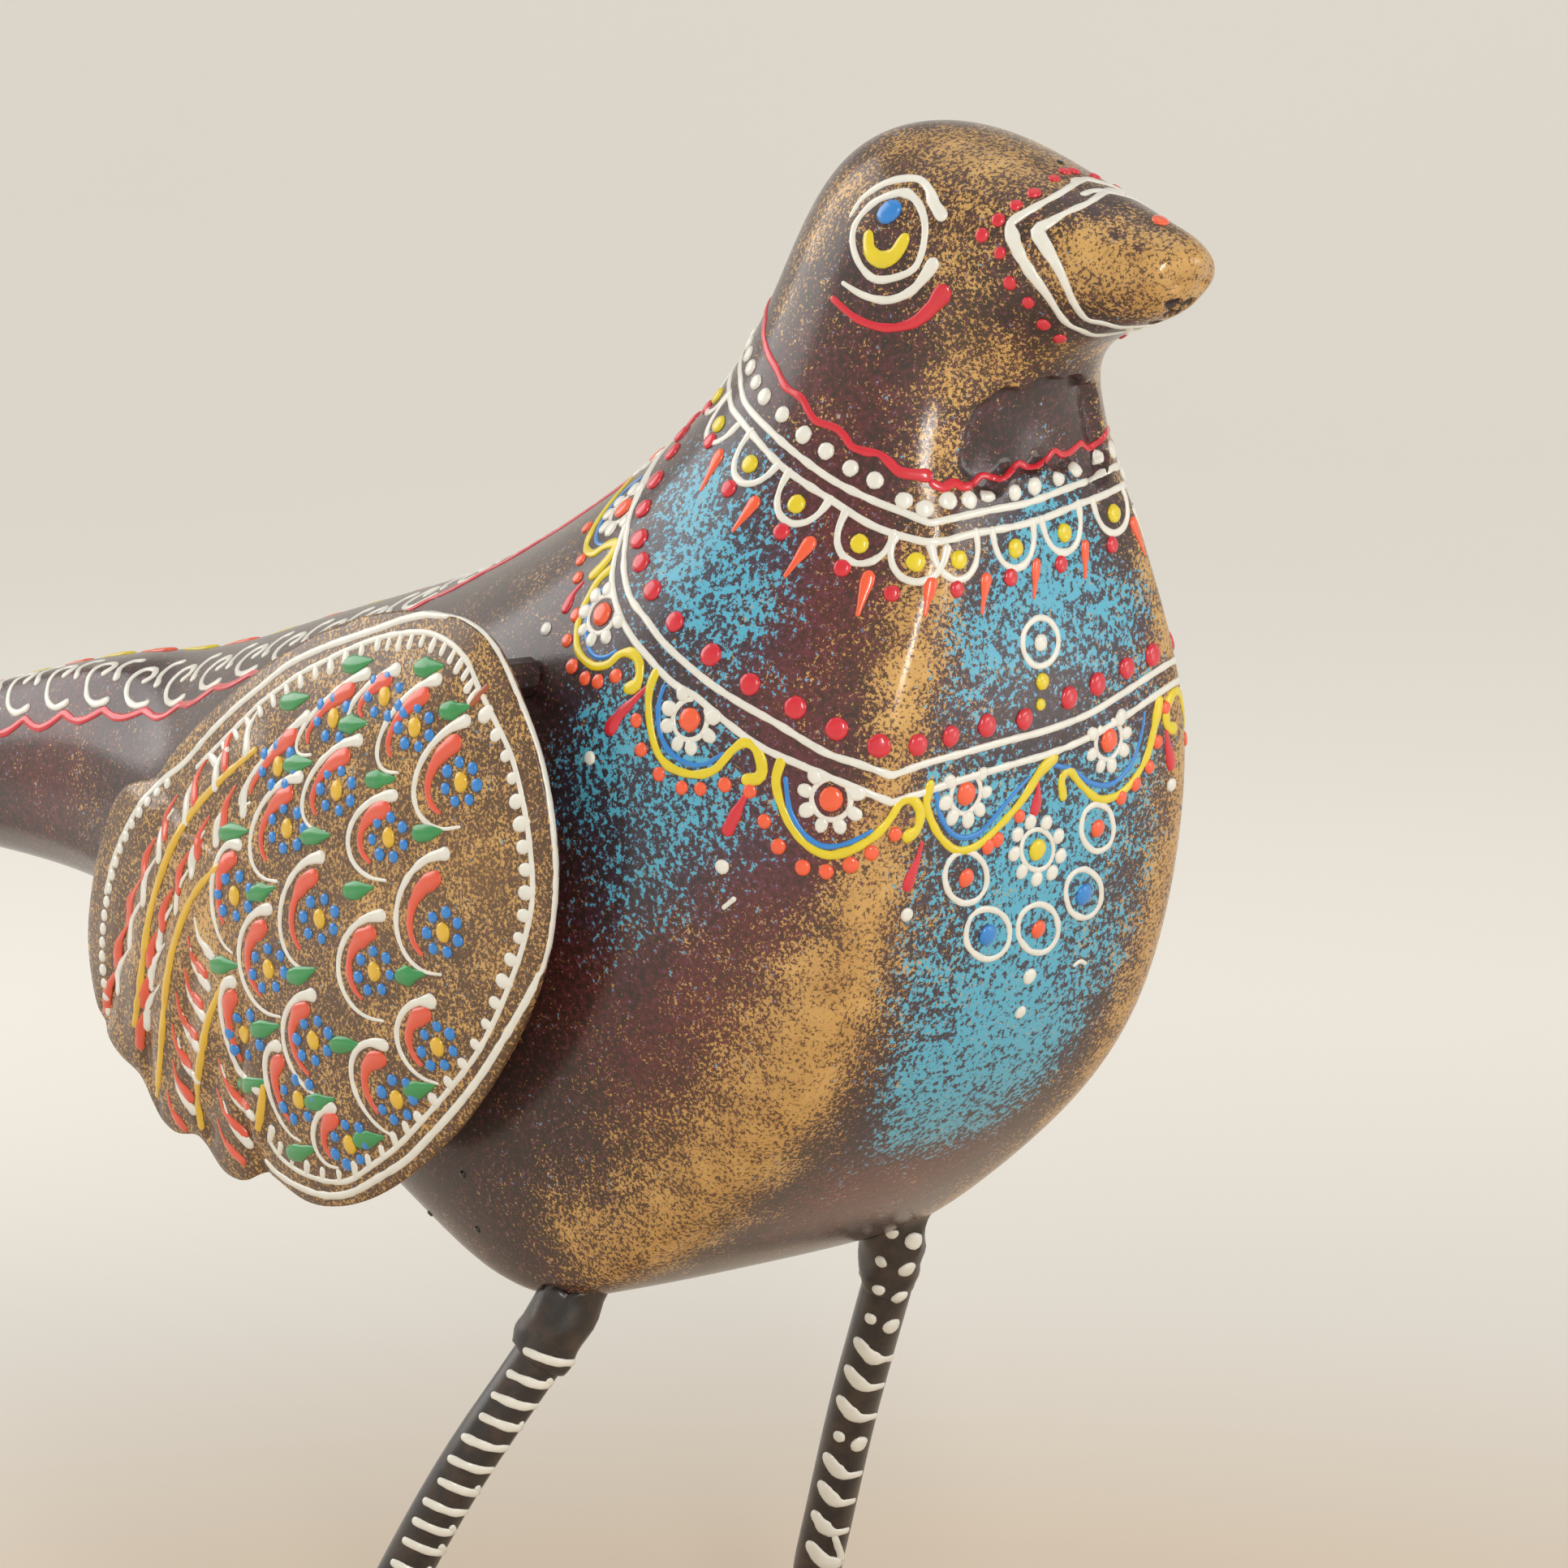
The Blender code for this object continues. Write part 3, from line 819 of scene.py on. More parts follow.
def paint_necklace(brush):
    red, front = brush.route(NECK_RED_RIGHT), brush.route(NECK_RED_FRONT)
    move = band_mover(red[-1], front[-1], red[0])
    side = round_the_back(brush.tree, red[0], red[-1])[::-1] + red
    brush.line("red", side, 10, (1.0,) * 9 + (1.7,))
    brush.line("red", front, 9, (1.4, 1.0, 1.0, 1.0, 1.0, 1.6))
    brush.line("red", [move(p) for p in side], 10)
    girdle(brush, NECK_UPPER_RIGHT, NECK_UPPER_FRONT)
    seen, breast, behind, move = girdle(brush, NECK_LOWER_RIGHT, NECK_LOWER_FRONT)
    whole = behind[::-1] + seen + breast + [move(p) for p in reversed(seen)]
    whole += [mirrored(p) for p in behind]
    brush.twins = (move,)
    neck_marks(brush, NECK_DOTS_RIGHT, NECK_BEADS_RIGHT, NECK_DROPS_RIGHT, 19)
    brush.twins = ()
    for colour, row, pitch in (("white", NECK_DOTS_RIGHT, NECK_DOT_PITCH),
                               ("red", NECK_BEADS_RIGHT, SCALLOP_PITCH)):
        for place in places_behind(brush, row, pitch):
            brush.dot(colour, place, NECK_DOT)
    for place in places_behind(brush, NECK_SCALLOPS_RIGHT, SCALLOP_PITCH):
        scallop(brush, whole, place)
    neck_marks(brush, NECK_DOTS_FRONT, NECK_BEADS_FRONT, NECK_DROPS_FRONT, 17)
    for pixel in NECK_SCALLOPS_RIGHT:
        place = brush.spot(*pixel)
        scallop(brush, whole, place)
        scallop(brush, whole, move(place))
    for pixel in NECK_SCALLOPS_FRONT:
        scallop(brush, whole, brush.spot(*pixel))


BAND_DOTS_RIGHT = (
    (829, 557), (808, 592), (793, 627), (788, 664), (790, 693), (804, 727), (832, 766),
    (876, 807), (924, 843), (980, 872), (1031, 898), (1083, 919),
)
BAND_DOTS_FRONT = (
    (1131, 918), (1171, 907), (1216, 894), (1262, 886), (1317, 860), (1352, 843), (1388, 823),
    (1420, 807), (1447, 787),
)
BAND_UPPER_RIGHT = (
    (823, 547), (796, 586), (777, 632), (770, 673), (769, 705), (777, 737), (796, 763),
    (816, 790), (842, 815), (876, 843), (915, 868), (956, 891), (1016, 927), (1057, 941),
    (1099, 956),
)
BAND_UPPER_FRONT = (
    (1099, 956), (1140, 941), (1190, 927), (1244, 912), (1289, 900), (1339, 881), (1381, 856),
    (1422, 829), (1451, 811),
)
BAND_LOWER_RIGHT = (
    (796, 593), (775, 636), (760, 678), (754, 714), (761, 751), (777, 783), (798, 809),
    (828, 841), (858, 859), (885, 882), (933, 918), (987, 943), (1037, 964), (1099, 989),
)
BAND_LOWER_FRONT = (
    (1099, 989), (1140, 976), (1182, 962), (1244, 943), (1298, 927), (1347, 906), (1389, 881),
    (1422, 858), (1455, 836),
)
FLOWERS_RIGHT = ((1024, 985), (850, 887), (742, 757), (769, 626))
FLOWERS_FRONT = ((1190, 978), (1366, 912))
FLOWER_DOT = 15
PETAL = 9
PETAL_RING = 3.9 * MM
PETAL_TURNS = (-126, -84, -42, 0, 42, 84, 126)
PETAL_SWAY = 5
PETAL_SPREAD = (0.9, 1.12)
# The white line under the petals: its reach in shares of their ring, and its turns in degrees
COLLAR_SHARE = 0.74
COLLAR_START = -150
COLLAR_SPAN = 300
COLLAR_STEPS = 16

# Each festoon: its yellow line, and the blue line inside it
FESTOONS_RIGHT = (
    (((962, 939), (956, 964), (966, 1001), (987, 1035), (1016, 1053), (1045, 1049),
      (1078, 1030), (1099, 1006), (1109, 989), (1124, 985), (1134, 1001), (1130, 1022),
      (1119, 1030)),
     ((968, 960), (974, 1001), (993, 1030), (1016, 1043), (1045, 1039), (1074, 1024))),
    (((808, 829), (801, 846), (799, 865), (800, 885), (804, 909), (812, 931), (825, 945),
      (845, 953), (864, 954), (881, 948), (893, 935), (905, 922), (919, 914), (930, 921),
      (937, 935), (939, 950), (934, 959), (921, 961)),
     ((818, 846), (813, 861), (811, 880), (813, 902), (821, 921), (833, 933), (850, 942),
      (867, 942), (881, 935), (891, 928))),
    (((752, 701), (738, 714), (727, 732), (716, 754), (711, 776), (711, 798), (719, 812),
      (733, 821), (750, 818), (762, 807), (777, 804), (787, 815), (788, 831), (784, 844),
      (775, 848)),
     ((750, 719), (736, 735), (726, 753), (722, 772), (725, 797), (734, 809), (747, 809),
      (759, 802))),
    (((800, 570), (782, 586), (761, 609), (743, 632), (729, 655), (722, 675), (731, 682),
      (745, 673), (759, 669), (754, 682), (741, 698), (731, 708)),
     ((791, 588), (768, 607), (748, 632), (736, 655), (736, 669), (745, 671))),
)
FESTOONS_FRONT = (
    (((1146, 968), (1142, 993), (1155, 1026), (1177, 1047), (1202, 1043), (1231, 1018),
      (1260, 985), (1281, 952), (1298, 935)),
     ((1154, 976), (1156, 998), (1168, 1022), (1184, 1032), (1206, 1027), (1230, 1001),
      (1252, 975), (1268, 958))),
    (((1310, 981), (1308, 960), (1318, 950), (1333, 968), (1356, 985), (1385, 974),
      (1410, 939), (1422, 898), (1428, 865)),
     ((1300, 943), (1322, 949), (1340, 963), (1362, 968), (1382, 957), (1399, 930),
      (1408, 896), (1410, 878))),
)
HANGING_DOTS_RIGHT = (
    (784, 888), (790, 924), (812, 954), (840, 971), (863, 972), (893, 967), (924, 975),
    (942, 1012), (959, 1043), (989, 1069), (1018, 1074), (1048, 1066), (1074, 1051),
    (699, 789), (705, 821), (721, 836), (737, 840), (759, 833), (710, 758), (716, 690),
    (712, 712), (724, 650),
)
HANGING_DOTS_FRONT = (
    (1103, 1028), (1256, 1006), (1217, 1043), (1229, 1035), (1416, 945), (1399, 966),
    (1381, 983), (1426, 914), (1436, 872),
)
RED_DROPS_RIGHT = (
    ((926, 968), (912, 992), (902, 1012), (897, 1022)),
    ((800, 843), (782, 862), (764, 880), (753, 896)),
    ((718, 718), (706, 732), (698, 748)),
)
RED_DROPS_FRONT = (
    ((1136, 1039), (1130, 1060), (1122, 1080), (1119, 1090)),
    ((1279, 965), (1279, 976), (1277, 990), (1275, 998)),
    ((1438, 890), (1438, 910), (1441, 930), (1443, 942)),
)
LONE_DOTS_RIGHT = ((727, 934), (890, 1068), (673, 775))
LONE_DOTS_FRONT = ((1117, 1127), (1443, 967))
WHITE_FLECKS = (
    ((892, 1118), (898, 1113), (904, 1108)),
    ((1324, 1189), (1331, 1184), (1337, 1187)),
)
BAND_DOT = 14
HANGING_DOT = 9.5
LONE_DOT = 9
# The festoons behind: colour, width, and half their span and their depth in millimetres
REAR_FESTOON = (("yellow", 11, 6.6, 8.6), ("blue", 7, 5.6, 7.2))


def flower(brush, route, place):
    """An orange dot in a ring of white petals that is open towards the line."""
    _, along, down = local_axes(brush, route, place)
    brush.dot("orange", place, FLOWER_DOT)
    for degrees in PETAL_TURNS:
        turn = math.radians(degrees + brush.chance.uniform(-PETAL_SWAY, PETAL_SWAY))
        out = down * math.cos(turn) + along * math.sin(turn)
        size = PETAL * brush.chance.uniform(*PETAL_SPREAD)
        brush.dot("white", place + out * PETAL_RING, size, out, 1.2)
    collar = []
    for degrees in turns(COLLAR_SPAN, COLLAR_STEPS):
        turn = math.radians(COLLAR_START + degrees)
        out = down * math.cos(turn) + along * math.sin(turn)
        collar.append(place + out * PETAL_RING * COLLAR_SHARE)
    brush.line("white", collar, 7)


def paint_band(brush):
    girdle(brush, BAND_UPPER_RIGHT, BAND_UPPER_FRONT)
    seen, breast, behind, move = girdle(brush, BAND_LOWER_RIGHT, BAND_LOWER_FRONT)
    route = behind[::-1] + seen + breast + [mirrored(p) for p in behind]
    for place in places_behind(brush, BAND_DOTS_RIGHT, BAND_DOT_PITCH):
        brush.dot("red", place, BAND_DOT)
    for place in places_behind(brush, FLOWERS_RIGHT[::-1], FESTOON_PITCH):
        flower(brush, route, place)
        root, along, down = local_axes(brush, route, place)
        for colour, width, reach, depth in REAR_FESTOON:
            bow = [root + (along * math.cos(turn) * reach + down * math.sin(turn) * depth) * MM
                   for turn in turns(math.pi, BOW_STEPS)]
            brush.line(colour, bow, width)
    for twins, dots, festoons, flowers, hanging, drops, lone in (
            ((move,), BAND_DOTS_RIGHT, FESTOONS_RIGHT, FLOWERS_RIGHT, HANGING_DOTS_RIGHT,
             RED_DROPS_RIGHT, LONE_DOTS_RIGHT),
            ((), BAND_DOTS_FRONT, FESTOONS_FRONT, FLOWERS_FRONT, HANGING_DOTS_FRONT,
             RED_DROPS_FRONT, LONE_DOTS_FRONT)):
        brush.twins = twins
        brush.dots("red", dots, BAND_DOT)
        for yellow, blue in festoons:
            brush.drawn("blue", blue, 7, (0.9, 1.1, 1.0, 0.7))
            brush.drawn("yellow", yellow, 11, (1.3, 1.0, 0.95, 1.0, 1.0, 1.0, 1.3, 1.5))
        for pixel in flowers:
            flower(brush, route, brush.spot(*pixel))
        brush.dots("orange", hanging, HANGING_DOT)
        for points in drops:
            brush.drawn("red", points, 19, (0.3, 0.45, 0.8, 1.0))
        brush.dots("white", lone, LONE_DOT)
    brush.twins = ()
    for fleck in WHITE_FLECKS:
        brush.drawn("white", fleck, 6)


# Each ring of the pendant: its middle, half sizes, and the dot in it
PENDANT_RINGS = (
    ((1282, 791), (22, 30), "white", 11), ((1352, 1020), (20, 29), "orange", 12),
    ((1190, 1081), (26, 32), "orange", 12), ((1217, 1151), (27, 31), "blue", 14),
    ((1279, 1144), (25, 30), "orange", 12), ((1335, 1101), (22, 30), "blue", 14),
)
PENDANT_DOTS = (((1284, 840), 11, "yellow"), ((1282, 868), 8, "yellow"),
                ((1268, 1203), 11, "white"), ((1257, 1247), 9, "white"))
PENDANT_FLOWER = (1278, 1047)
PENDANT_COLLAR = (20, 25)
PENDANT_PETAL_RING = (29, 36)
PENDANT_PETALS = 9
PENDANT_LEAN = 0.3
RING_STEPS = 16
RING_SWAY = 1.5


def paint_pendant(brush):
    around = turns(math.tau, RING_STEPS)[:-1]
    for (px, py), sizes, colour, radius in PENDANT_RINGS:
        ring = []
        for turn in around:
            lean = math.sin(turn) * brush.chance.uniform(-RING_SWAY, RING_SWAY)
            ring.append(on_oval((px + lean, py), sizes, turn))
        brush.drawn("white", ring, 8.5, closed=True)
        brush.dot(colour, brush.spot(px, py + 1), radius)
    for pixel, radius, colour in PENDANT_DOTS:
        brush.dot(colour, brush.spot(*pixel), radius)
    brush.dot("yellow", brush.spot(*PENDANT_FLOWER), 14)
    collar = [on_oval(PENDANT_FLOWER, PENDANT_COLLAR, turn) for turn in around]
    brush.drawn("white", collar, 7, closed=True)
    for i in range(PENDANT_PETALS):
        turn = math.tau * (i + PENDANT_LEAN) / PENDANT_PETALS
        brush.dot("white", brush.spot(*on_oval(PENDANT_FLOWER, PENDANT_PETAL_RING, turn)), 10)


EYE_RING = (
    (1117, 238), (1133, 253), (1140, 280), (1135, 314), (1121, 335), (1083, 345), (1062, 330),
    (1051, 303), (1054, 276), (1075, 251), (1098, 240),
)
EYE_CRESCENT = ((1070, 291), (1072, 310), (1085, 320), (1102, 314), (1114, 295))
EYE_PUPIL = (1096, 261)
BROW = ((1048, 266), (1064, 243), (1095, 224), (1129, 220), (1144, 232), (1150, 249), (1160, 265))
UNDER_EYE = ((1039, 349), (1064, 364), (1093, 370), (1121, 360), (1139, 341), (1149, 326))
CHEEK = ((1026, 368), (1056, 393), (1091, 404), (1125, 398), (1148, 379), (1161, 362))
BEAK_BACK = (
    (1359, 226), (1336, 221), (1305, 239), (1276, 255), (1247, 273), (1246, 286), (1254, 309),
    (1269, 335), (1289, 362), (1312, 396), (1332, 407), (1350, 413), (1381, 409), (1403, 405),
)
BEAK_FRONT = (
    (1381, 237), (1365, 235), (1341, 250), (1314, 262), (1292, 275), (1278, 284), (1287, 302),
    (1303, 329), (1314, 353), (1323, 373), (1338, 393), (1359, 398), (1381, 403), (1412, 401),
)
BEAK_DOTS = (
    (1323, 211), (1299, 220), (1274, 238), (1252, 253), (1230, 271), (1210, 290), (1232, 312),
    (1244, 349), (1267, 373), (1286, 400), (1306, 417),
)
BEAK_SPOT = (1430, 272)


def paint_head(brush):
    brush.twins = (mirrored,)
    brush.drawn("white", EYE_RING, 10, (1.25, 1.0, 0.85, 0.9, 1.0, 0.9, 0.9, 1.0, 1.25), True)
    brush.dot("blue", brush.spot(*EYE_PUPIL), 14.5, RIGHT * 0.9 + UP * 0.4, 1.25)
    brush.drawn("yellow", EYE_CRESCENT, 20, (0.75, 0.9, 1.1, 0.95, 0.75))
    brush.drawn("white", BROW, 9.5, (0.5, 0.9, 1.1, 1.25, 1.0, 1.4, 1.8))
    brush.drawn("white", UNDER_EYE, 10, (0.6, 0.9, 1.0, 1.0, 1.2, 1.8))
    brush.drawn("red", CHEEK, 11, (0.8, 0.85, 0.9, 1.0, 1.5, 2.2))
    brush.drawn("white", BEAK_BACK, 10, (1.0, 1.1, 1.0, 1.1, 1.7, 1.6, 1.0, 0.9, 0.9, 1.0))
    brush.drawn("white", BEAK_FRONT, 10, (1.0, 1.1, 1.0, 1.0, 1.9, 1.4, 1.0, 0.9, 0.9, 1.0))
    brush.dots("red", BEAK_DOTS, 8.5)
    brush.twins = ()
    brush.dot("orange", brush.spot(*BEAK_SPOT), 11, BACK, 1.4)


# The wings: a white rim, a toothed line, scales with flowers, and long feathers behind

RIM_LINE = (
    (131, 1098), (141, 1057), (156, 1021), (177, 985), (202, 960), (228, 939), (258, 904),
    (289, 873), (319, 848), (355, 819), (396, 799), (432, 786), (467, 774), (498, 763),
    (529, 757), (561, 760), (588, 773), (608, 795), (622, 820), (638, 856), (655, 898),
    (668, 938), (677, 985), (682, 1026), (685, 1077), (682, 1129), (674, 1176), (659, 1213),
    (639, 1249), (617, 1286), (591, 1327), (559, 1368), (527, 1403), (500, 1430), (467, 1451),
    (432, 1470), (401, 1473), (370, 1463), (345, 1448), (329, 1432),
)
TOOTH_LINE = (
    (243, 945), (268, 919), (294, 893), (319, 868), (345, 848), (370, 830), (401, 814),
    (432, 799), (467, 786), (498, 780), (529, 780), (557, 794), (577, 817), (590, 848),
    (610, 888), (631, 934), (646, 996), (654, 1052), (656, 1108), (646, 1159), (631, 1205),
    (610, 1256), (585, 1302), (554, 1342), (518, 1383), (488, 1414), (457, 1437), (429, 1455),
    (401, 1455), (370, 1444), (347, 1427), (332, 1406),
)
WING_MIDDLE = Vector((400, 1120))

# Runs of teeth along the line: first and last point, pitch, length and width of a tooth
TOOTH_RUNS = ((0, 8, 21, 12, 13), (8, 13, 15, 18, 9), (13, 24, 29, 9, 17), (24, 31, 22, 13, 11))
REAR_RIM = ((207, 965), (180, 990), (158, 1025), (143, 1062), (134, 1100), (128, 1140),
            (127, 1190), (134, 1245))

# Each scale: its flower's middle, then from there to the arc's head, side and tail
SCALES = (
    ((568, 964), (6, -76), (-58, 8), (-2, 55)), ((479, 1032), (6, -52), (-50, 0), (-4, 53)),
    ((546, 1149), (2, -97), (-58, -20), (-3, 52)), ((461, 1197), (9, -69), (-44, -5), (11, 61)),
    ((539, 1290), (-9, -56), (-50, -12), (0, 45)), ((489, 1355), (-16, -67), (-56, -30), (-4, 45)),
    ((394, 1132), (1, -76), (-49, -5), (-9, 65)), ((386, 1282), (-2, -56), (-36, 5), (21, 74)),
    ((415, 974), (27, -62), (-38, -5), (-15, 51)), ((354, 1021), (15, -64), (-44, 3), (-13, 65)),
    ((331, 1194), (0, -74), (-36, -8), (14, 59)), ((474, 858), (14, -33), (-40, 10), (-22, 33)),
    ((511, 896), (28, -59), (-40, 5), (-21, 56)), ((411, 885), (41, -55), (-33, 5), (-28, 45)),
    ((343, 944), (35, -61), (-33, 12), (-35, 45)), ((289, 1104), (5, -63), (-28, -12), (-3, 70)),
    ((303, 1275), (-17, -65), (-28, -10), (9, 62)), ((368, 1355), (-26, -66), (-38, -15), (2, 51)),
    ((431, 1410), (-22, -45), (-45, -8), (-15, 29)),
)
LEAVES = (
    (438, 818), (526, 822), (360, 864), (432, 892), (558, 875), (364, 941), (466, 960),
    (525, 1026), (386, 1030), (439, 1097), (285, 1025), (318, 1100), (368, 1202), (503, 1202),
    (273, 1189), (323, 1268), (422, 1287), (308, 1336), (391, 1358), (514, 1343), (452, 1404),
    (368, 1420),
)
QUILLS = (
    ((314, 924), (273, 960), (233, 1006), (205, 1057), (184, 1128), (174, 1200), (166, 1262)),
    ((268, 1067), (238, 1103), (217, 1154), (205, 1210), (199, 1281), (194, 1348)),
    ((276, 1210), (258, 1251), (248, 1297), (243, 1342), (248, 1388)),
    ((324, 1338), (322, 1362), (318, 1390)),
)
# Rows of strokes between the quills: the line of their thick ends, the way from there to the
# thin end, the pitch and the width
STROKE_ROWS = (
    (((300, 925), (233, 1000), (192, 1055), (167, 1129), (148, 1192), (136, 1246)),
     (16, -54), 28, 17),
    (((296, 1000), (239, 1066), (215, 1118), (194, 1166), (182, 1226), (176, 1288)),
     (14, -48), 25, 16),
    (((258, 1180), (250, 1245), (240, 1305), (238, 1345), (230, 1388)), (-22, -48), 19, 15),
    (((312, 1345), (306, 1380), (302, 1428)), (-34, -56), 17, 15),
)
GROOVES = (
    ((322, 1440), (302, 1395), (292, 1330), (300, 1265)),
    ((258, 1396), (233, 1330), (228, 1260), (240, 1180)),
    ((194, 1356), (178, 1290), (186, 1200), (206, 1120), (245, 1040)),
    ((126, 1262), (150, 1160), (166, 1080), (200, 1010)),
)
GROOVE_DEPTH = 0.9 * MM
GROOVE_WIDTH = 1.5 * MM
QUILL_RISE = 0.5 * MM
QUILL_SPREAD = 2.2 * MM
RUST_SPOT = ((582, 866), (589, 858), (600, 846))
LINE_SAMPLE = 6
FAR_OFF = 1e9

# A scale's white arc and its smaller orange one, in degrees from head to tail, and its flower.
# The pairs are half sizes in pixels or the least and the most of a random draw.
ARC_DEGREES = range(0, 181, 20)
INNER_DEGREES = range(16, 160, 18)
INNER_ARC = 0.71
SCALE_PETALS = 7
SCALE_PETAL_RING = (20, 25)
SCALE_PETAL = (7.2, 8.8)
LEAF_LEAN = (-8, 1)
REAR_RIM_PITCH = 17
TOOTH_SWAY = (0.85, 1.15)
TOOTH_GAP = 2
COMMA_SWAY = (0.88, 1.12)
COMMA_BEND = 0.10
COMMA_OFFSET = (-0.7, 0.7)


def half_arc(middle, head, side, tail, steps, shrink=1.0):
    """Pixels along half an ellipse from its head round its side to its tail."""
    head, side, tail = (Vector(p) * shrink for p in (head, side, tail))
    chord = (head + tail) / 2
    pixels = []
    for degrees in steps:
        turn = math.radians(degrees)
        pixels.append(Vector(middle) + chord + (head - chord) * math.cos(turn)
                      + (side - chord) * math.sin(turn))
    return pixels


def paint_scale(brush, middle, head, side, tail):
    """One scale: a white arc, an orange arc in it, and a small blue flower."""
    arc = half_arc(middle, head, side, tail, ARC_DEGREES)
    brush.drawn("white", arc, 9, (2.0, 1.25, 1.05, 1.0, 0.95, 0.9, 0.8, 0.6, 0.45))
    arc = half_arc(middle, head, side, tail, INNER_DEGREES, INNER_ARC)
    brush.drawn("orange_red", arc, 13, (1.7, 2.0, 1.5, 1.1, 0.9, 0.8, 0.7, 0.5))
    brush.dot("wing_yellow", brush.spot(*middle), 11, UP, 1.2)
    first = brush.chance.uniform(0, 1)
    for i in range(SCALE_PETALS):
        turn = math.tau * (i + first) / SCALE_PETALS
        place = brush.spot(*on_oval(middle, SCALE_PETAL_RING, turn))
        brush.dot("blue", place, brush.chance.uniform(*SCALE_PETAL))


def paint_teeth(brush):
    for first, last, pitch, length, width in TOOTH_RUNS:
        run = even_route(smooth_route(TOOTH_LINE[first:last + 1]), pitch)
        for place in run[1:]:
            inward = (WING_MIDDLE - place).normalized()
            sway = brush.chance.uniform(*TOOTH_SWAY)
            ends = (place + inward * TOOTH_GAP, place + inward * length * sway)
            brush.drawn("white", ends, width * sway, (0.75, 1.0, 1.05))


def paint_strokes(brush):
    """Rows of commas between the quills, white and orange by turns."""
    for row, stroke, pitch, width in STROKE_ROWS:
        for i, place in enumerate(even_route(smooth_route(row), pitch)):
            way = Vector(stroke) * brush.chance.uniform(*COMMA_SWAY)
            bend = Vector((way.y, -way.x)) * COMMA_BEND
            place = place + bend * COMMA_OFFSET[i % 2]
            comma = (place, place + way * 0.5 + bend, place + way)
            brush.drawn(("white", "orange_red")[i % 2], comma, width, (1.0, 1.05, 0.7, 0.4, 0.25))


def paint_wing(brush):
    brush.drawn("white", RIM_LINE, 10.5)
    brush.drawn("white", TOOTH_LINE, 8)
    paint_teeth(brush)
    brush.dots("white", even_route(smooth_route(REAR_RIM), REAR_RIM_PITCH), 8)
    for scale in SCALES:
        paint_scale(brush, *scale)
    for px, py in LEAVES:
        lean = brush.chance.uniform(*LEAF_LEAN)
        brush.drawn("green", ((px - 9, py + 1), (px, py), (px + 20, py + lean)), 25,
                    (0.9, 1.0, 0.62, 0.2))
    for quill in QUILLS:
        brush.drawn("wing_yellow", quill, 13, (0.7, 1.0, 1.1, 1.0, 0.8))
    paint_strokes(brush)
    brush.drawn("rust", RUST_SPOT, 13, (0.8, 1.0, 0.6))


def route_samples(tree, lines, mirror):
    """Places on the right wing along each line of pixels, mirrored for the left wing."""
    places = []
    for line in lines:
        for pixel in even_route(smooth_route(line), LINE_SAMPLE):
            place = cast(tree, *pixel)
            places.append(mirrored(place) if mirror else place)
    return numpy.array(places)


def emboss(mesh, samples, reach, lift, out):
    """Moves the plate out along each sampled line, or in where the lift is negative."""
    places = points_of(mesh)
    away = numpy.full(len(places), FAR_OFF)
    for sample in samples:
        away = numpy.minimum(away, ((places[:, 1:] - sample[1:]) ** 2).sum(axis=1))
    places[:, 0] += out * lift * numpy.exp(-away / reach ** 2)
    move_points(mesh, places)


# The back and the tail: a scalloped red line each side, curls, and drops down the middle
BORDER_SEEN = ((184, 874), (320, 826), (448, 778), (720, 622))
END_REACH = 14.0 * MM
BORDER_PITCH = 10.6 * MM
BORDER_WAVE = 0.8 * MM
# How many pitches behind the band's end the border starts
BORDER_START = 0.8
TAIL_MARGIN = 7 * MM

# A curl beside the border: along the bird and in towards the middle, in millimetres
CURL = ((0.4, 0.8), (3.1, 0.5), (6.2, 1.3), (8.3, 3.4), (7.7, 5.9), (5.4, 6.6), (4.0, 5.2),
        (4.8, 4.0))
INNER_CURL = ((1.1, 3.6), (2.3, 5.4), (2.1, 7.8), (0.4, 8.5))
WAVE_STEPS = 6
# The drops down the middle, in shares of the pitch: where each starts and how long it is
DROP_START = 0.35
DROP_LENGTH = 0.62
# A height over the whole bird, and how far each try to meet the body from there steps inwards
OVERHEAD = 0.5
STEP_INWARDS = 0.93


def on_top(tree, x, y):
    """The body's upper surface at x and y, or as near to that x as the body is wide."""
    place = None
    while place is None:
        place = tree.ray_cast(Vector((x, y, OVERHEAD)), Vector((0, 0, -1)))[0]
        x *= STEP_INWARDS
    return place


def paint_back(brush, start):
    """The ornament behind the breast band, down to the end of the tail."""
    tree = brush.tree
    length = body_high.y - TAIL_MARGIN - start
    count = int(length / BORDER_PITCH)
    pitch = length / count
    seen = [brush.spot(*p) for p in BORDER_SEEN]
    ends = sorted([(place.y, -place.x) for place in seen] + [(start + length, END_REACH)])
    end_places, end_reaches = zip(*ends)

    def border_place(side, y, inward):
        reach = numpy.interp(y, end_places, end_reaches)
        return on_top(tree, side * (reach - inward), y)

    for side in (-1, 1):
        wave = []
        for i in range(count * WAVE_STEPS + 1):
            swing = abs(math.sin(math.pi * i / WAVE_STEPS)) * BORDER_WAVE
            wave.append(border_place(side, start + pitch * i / WAVE_STEPS, -swing))
        brush.line("red", wave, 12)
        for i in range(count):
            for curl in (CURL, INNER_CURL):
                places = [border_place(side, start + pitch * i + along * MM, inward * MM)
                          for along, inward in curl]
                brush.line("white", smooth_route(places), 9, (1.5, 1.0, 1.0, 1.1, 1.3))
    for i in range(count):
        y = start + pitch * (i + DROP_START)
        places = [on_top(tree, 0.0, y + share * pitch * DROP_LENGTH) for share in (0, 0.5, 1)]
        brush.line(("orange", "yellow")[i % 2], places, 26, (1.0, 0.95, 0.55, 0.25))


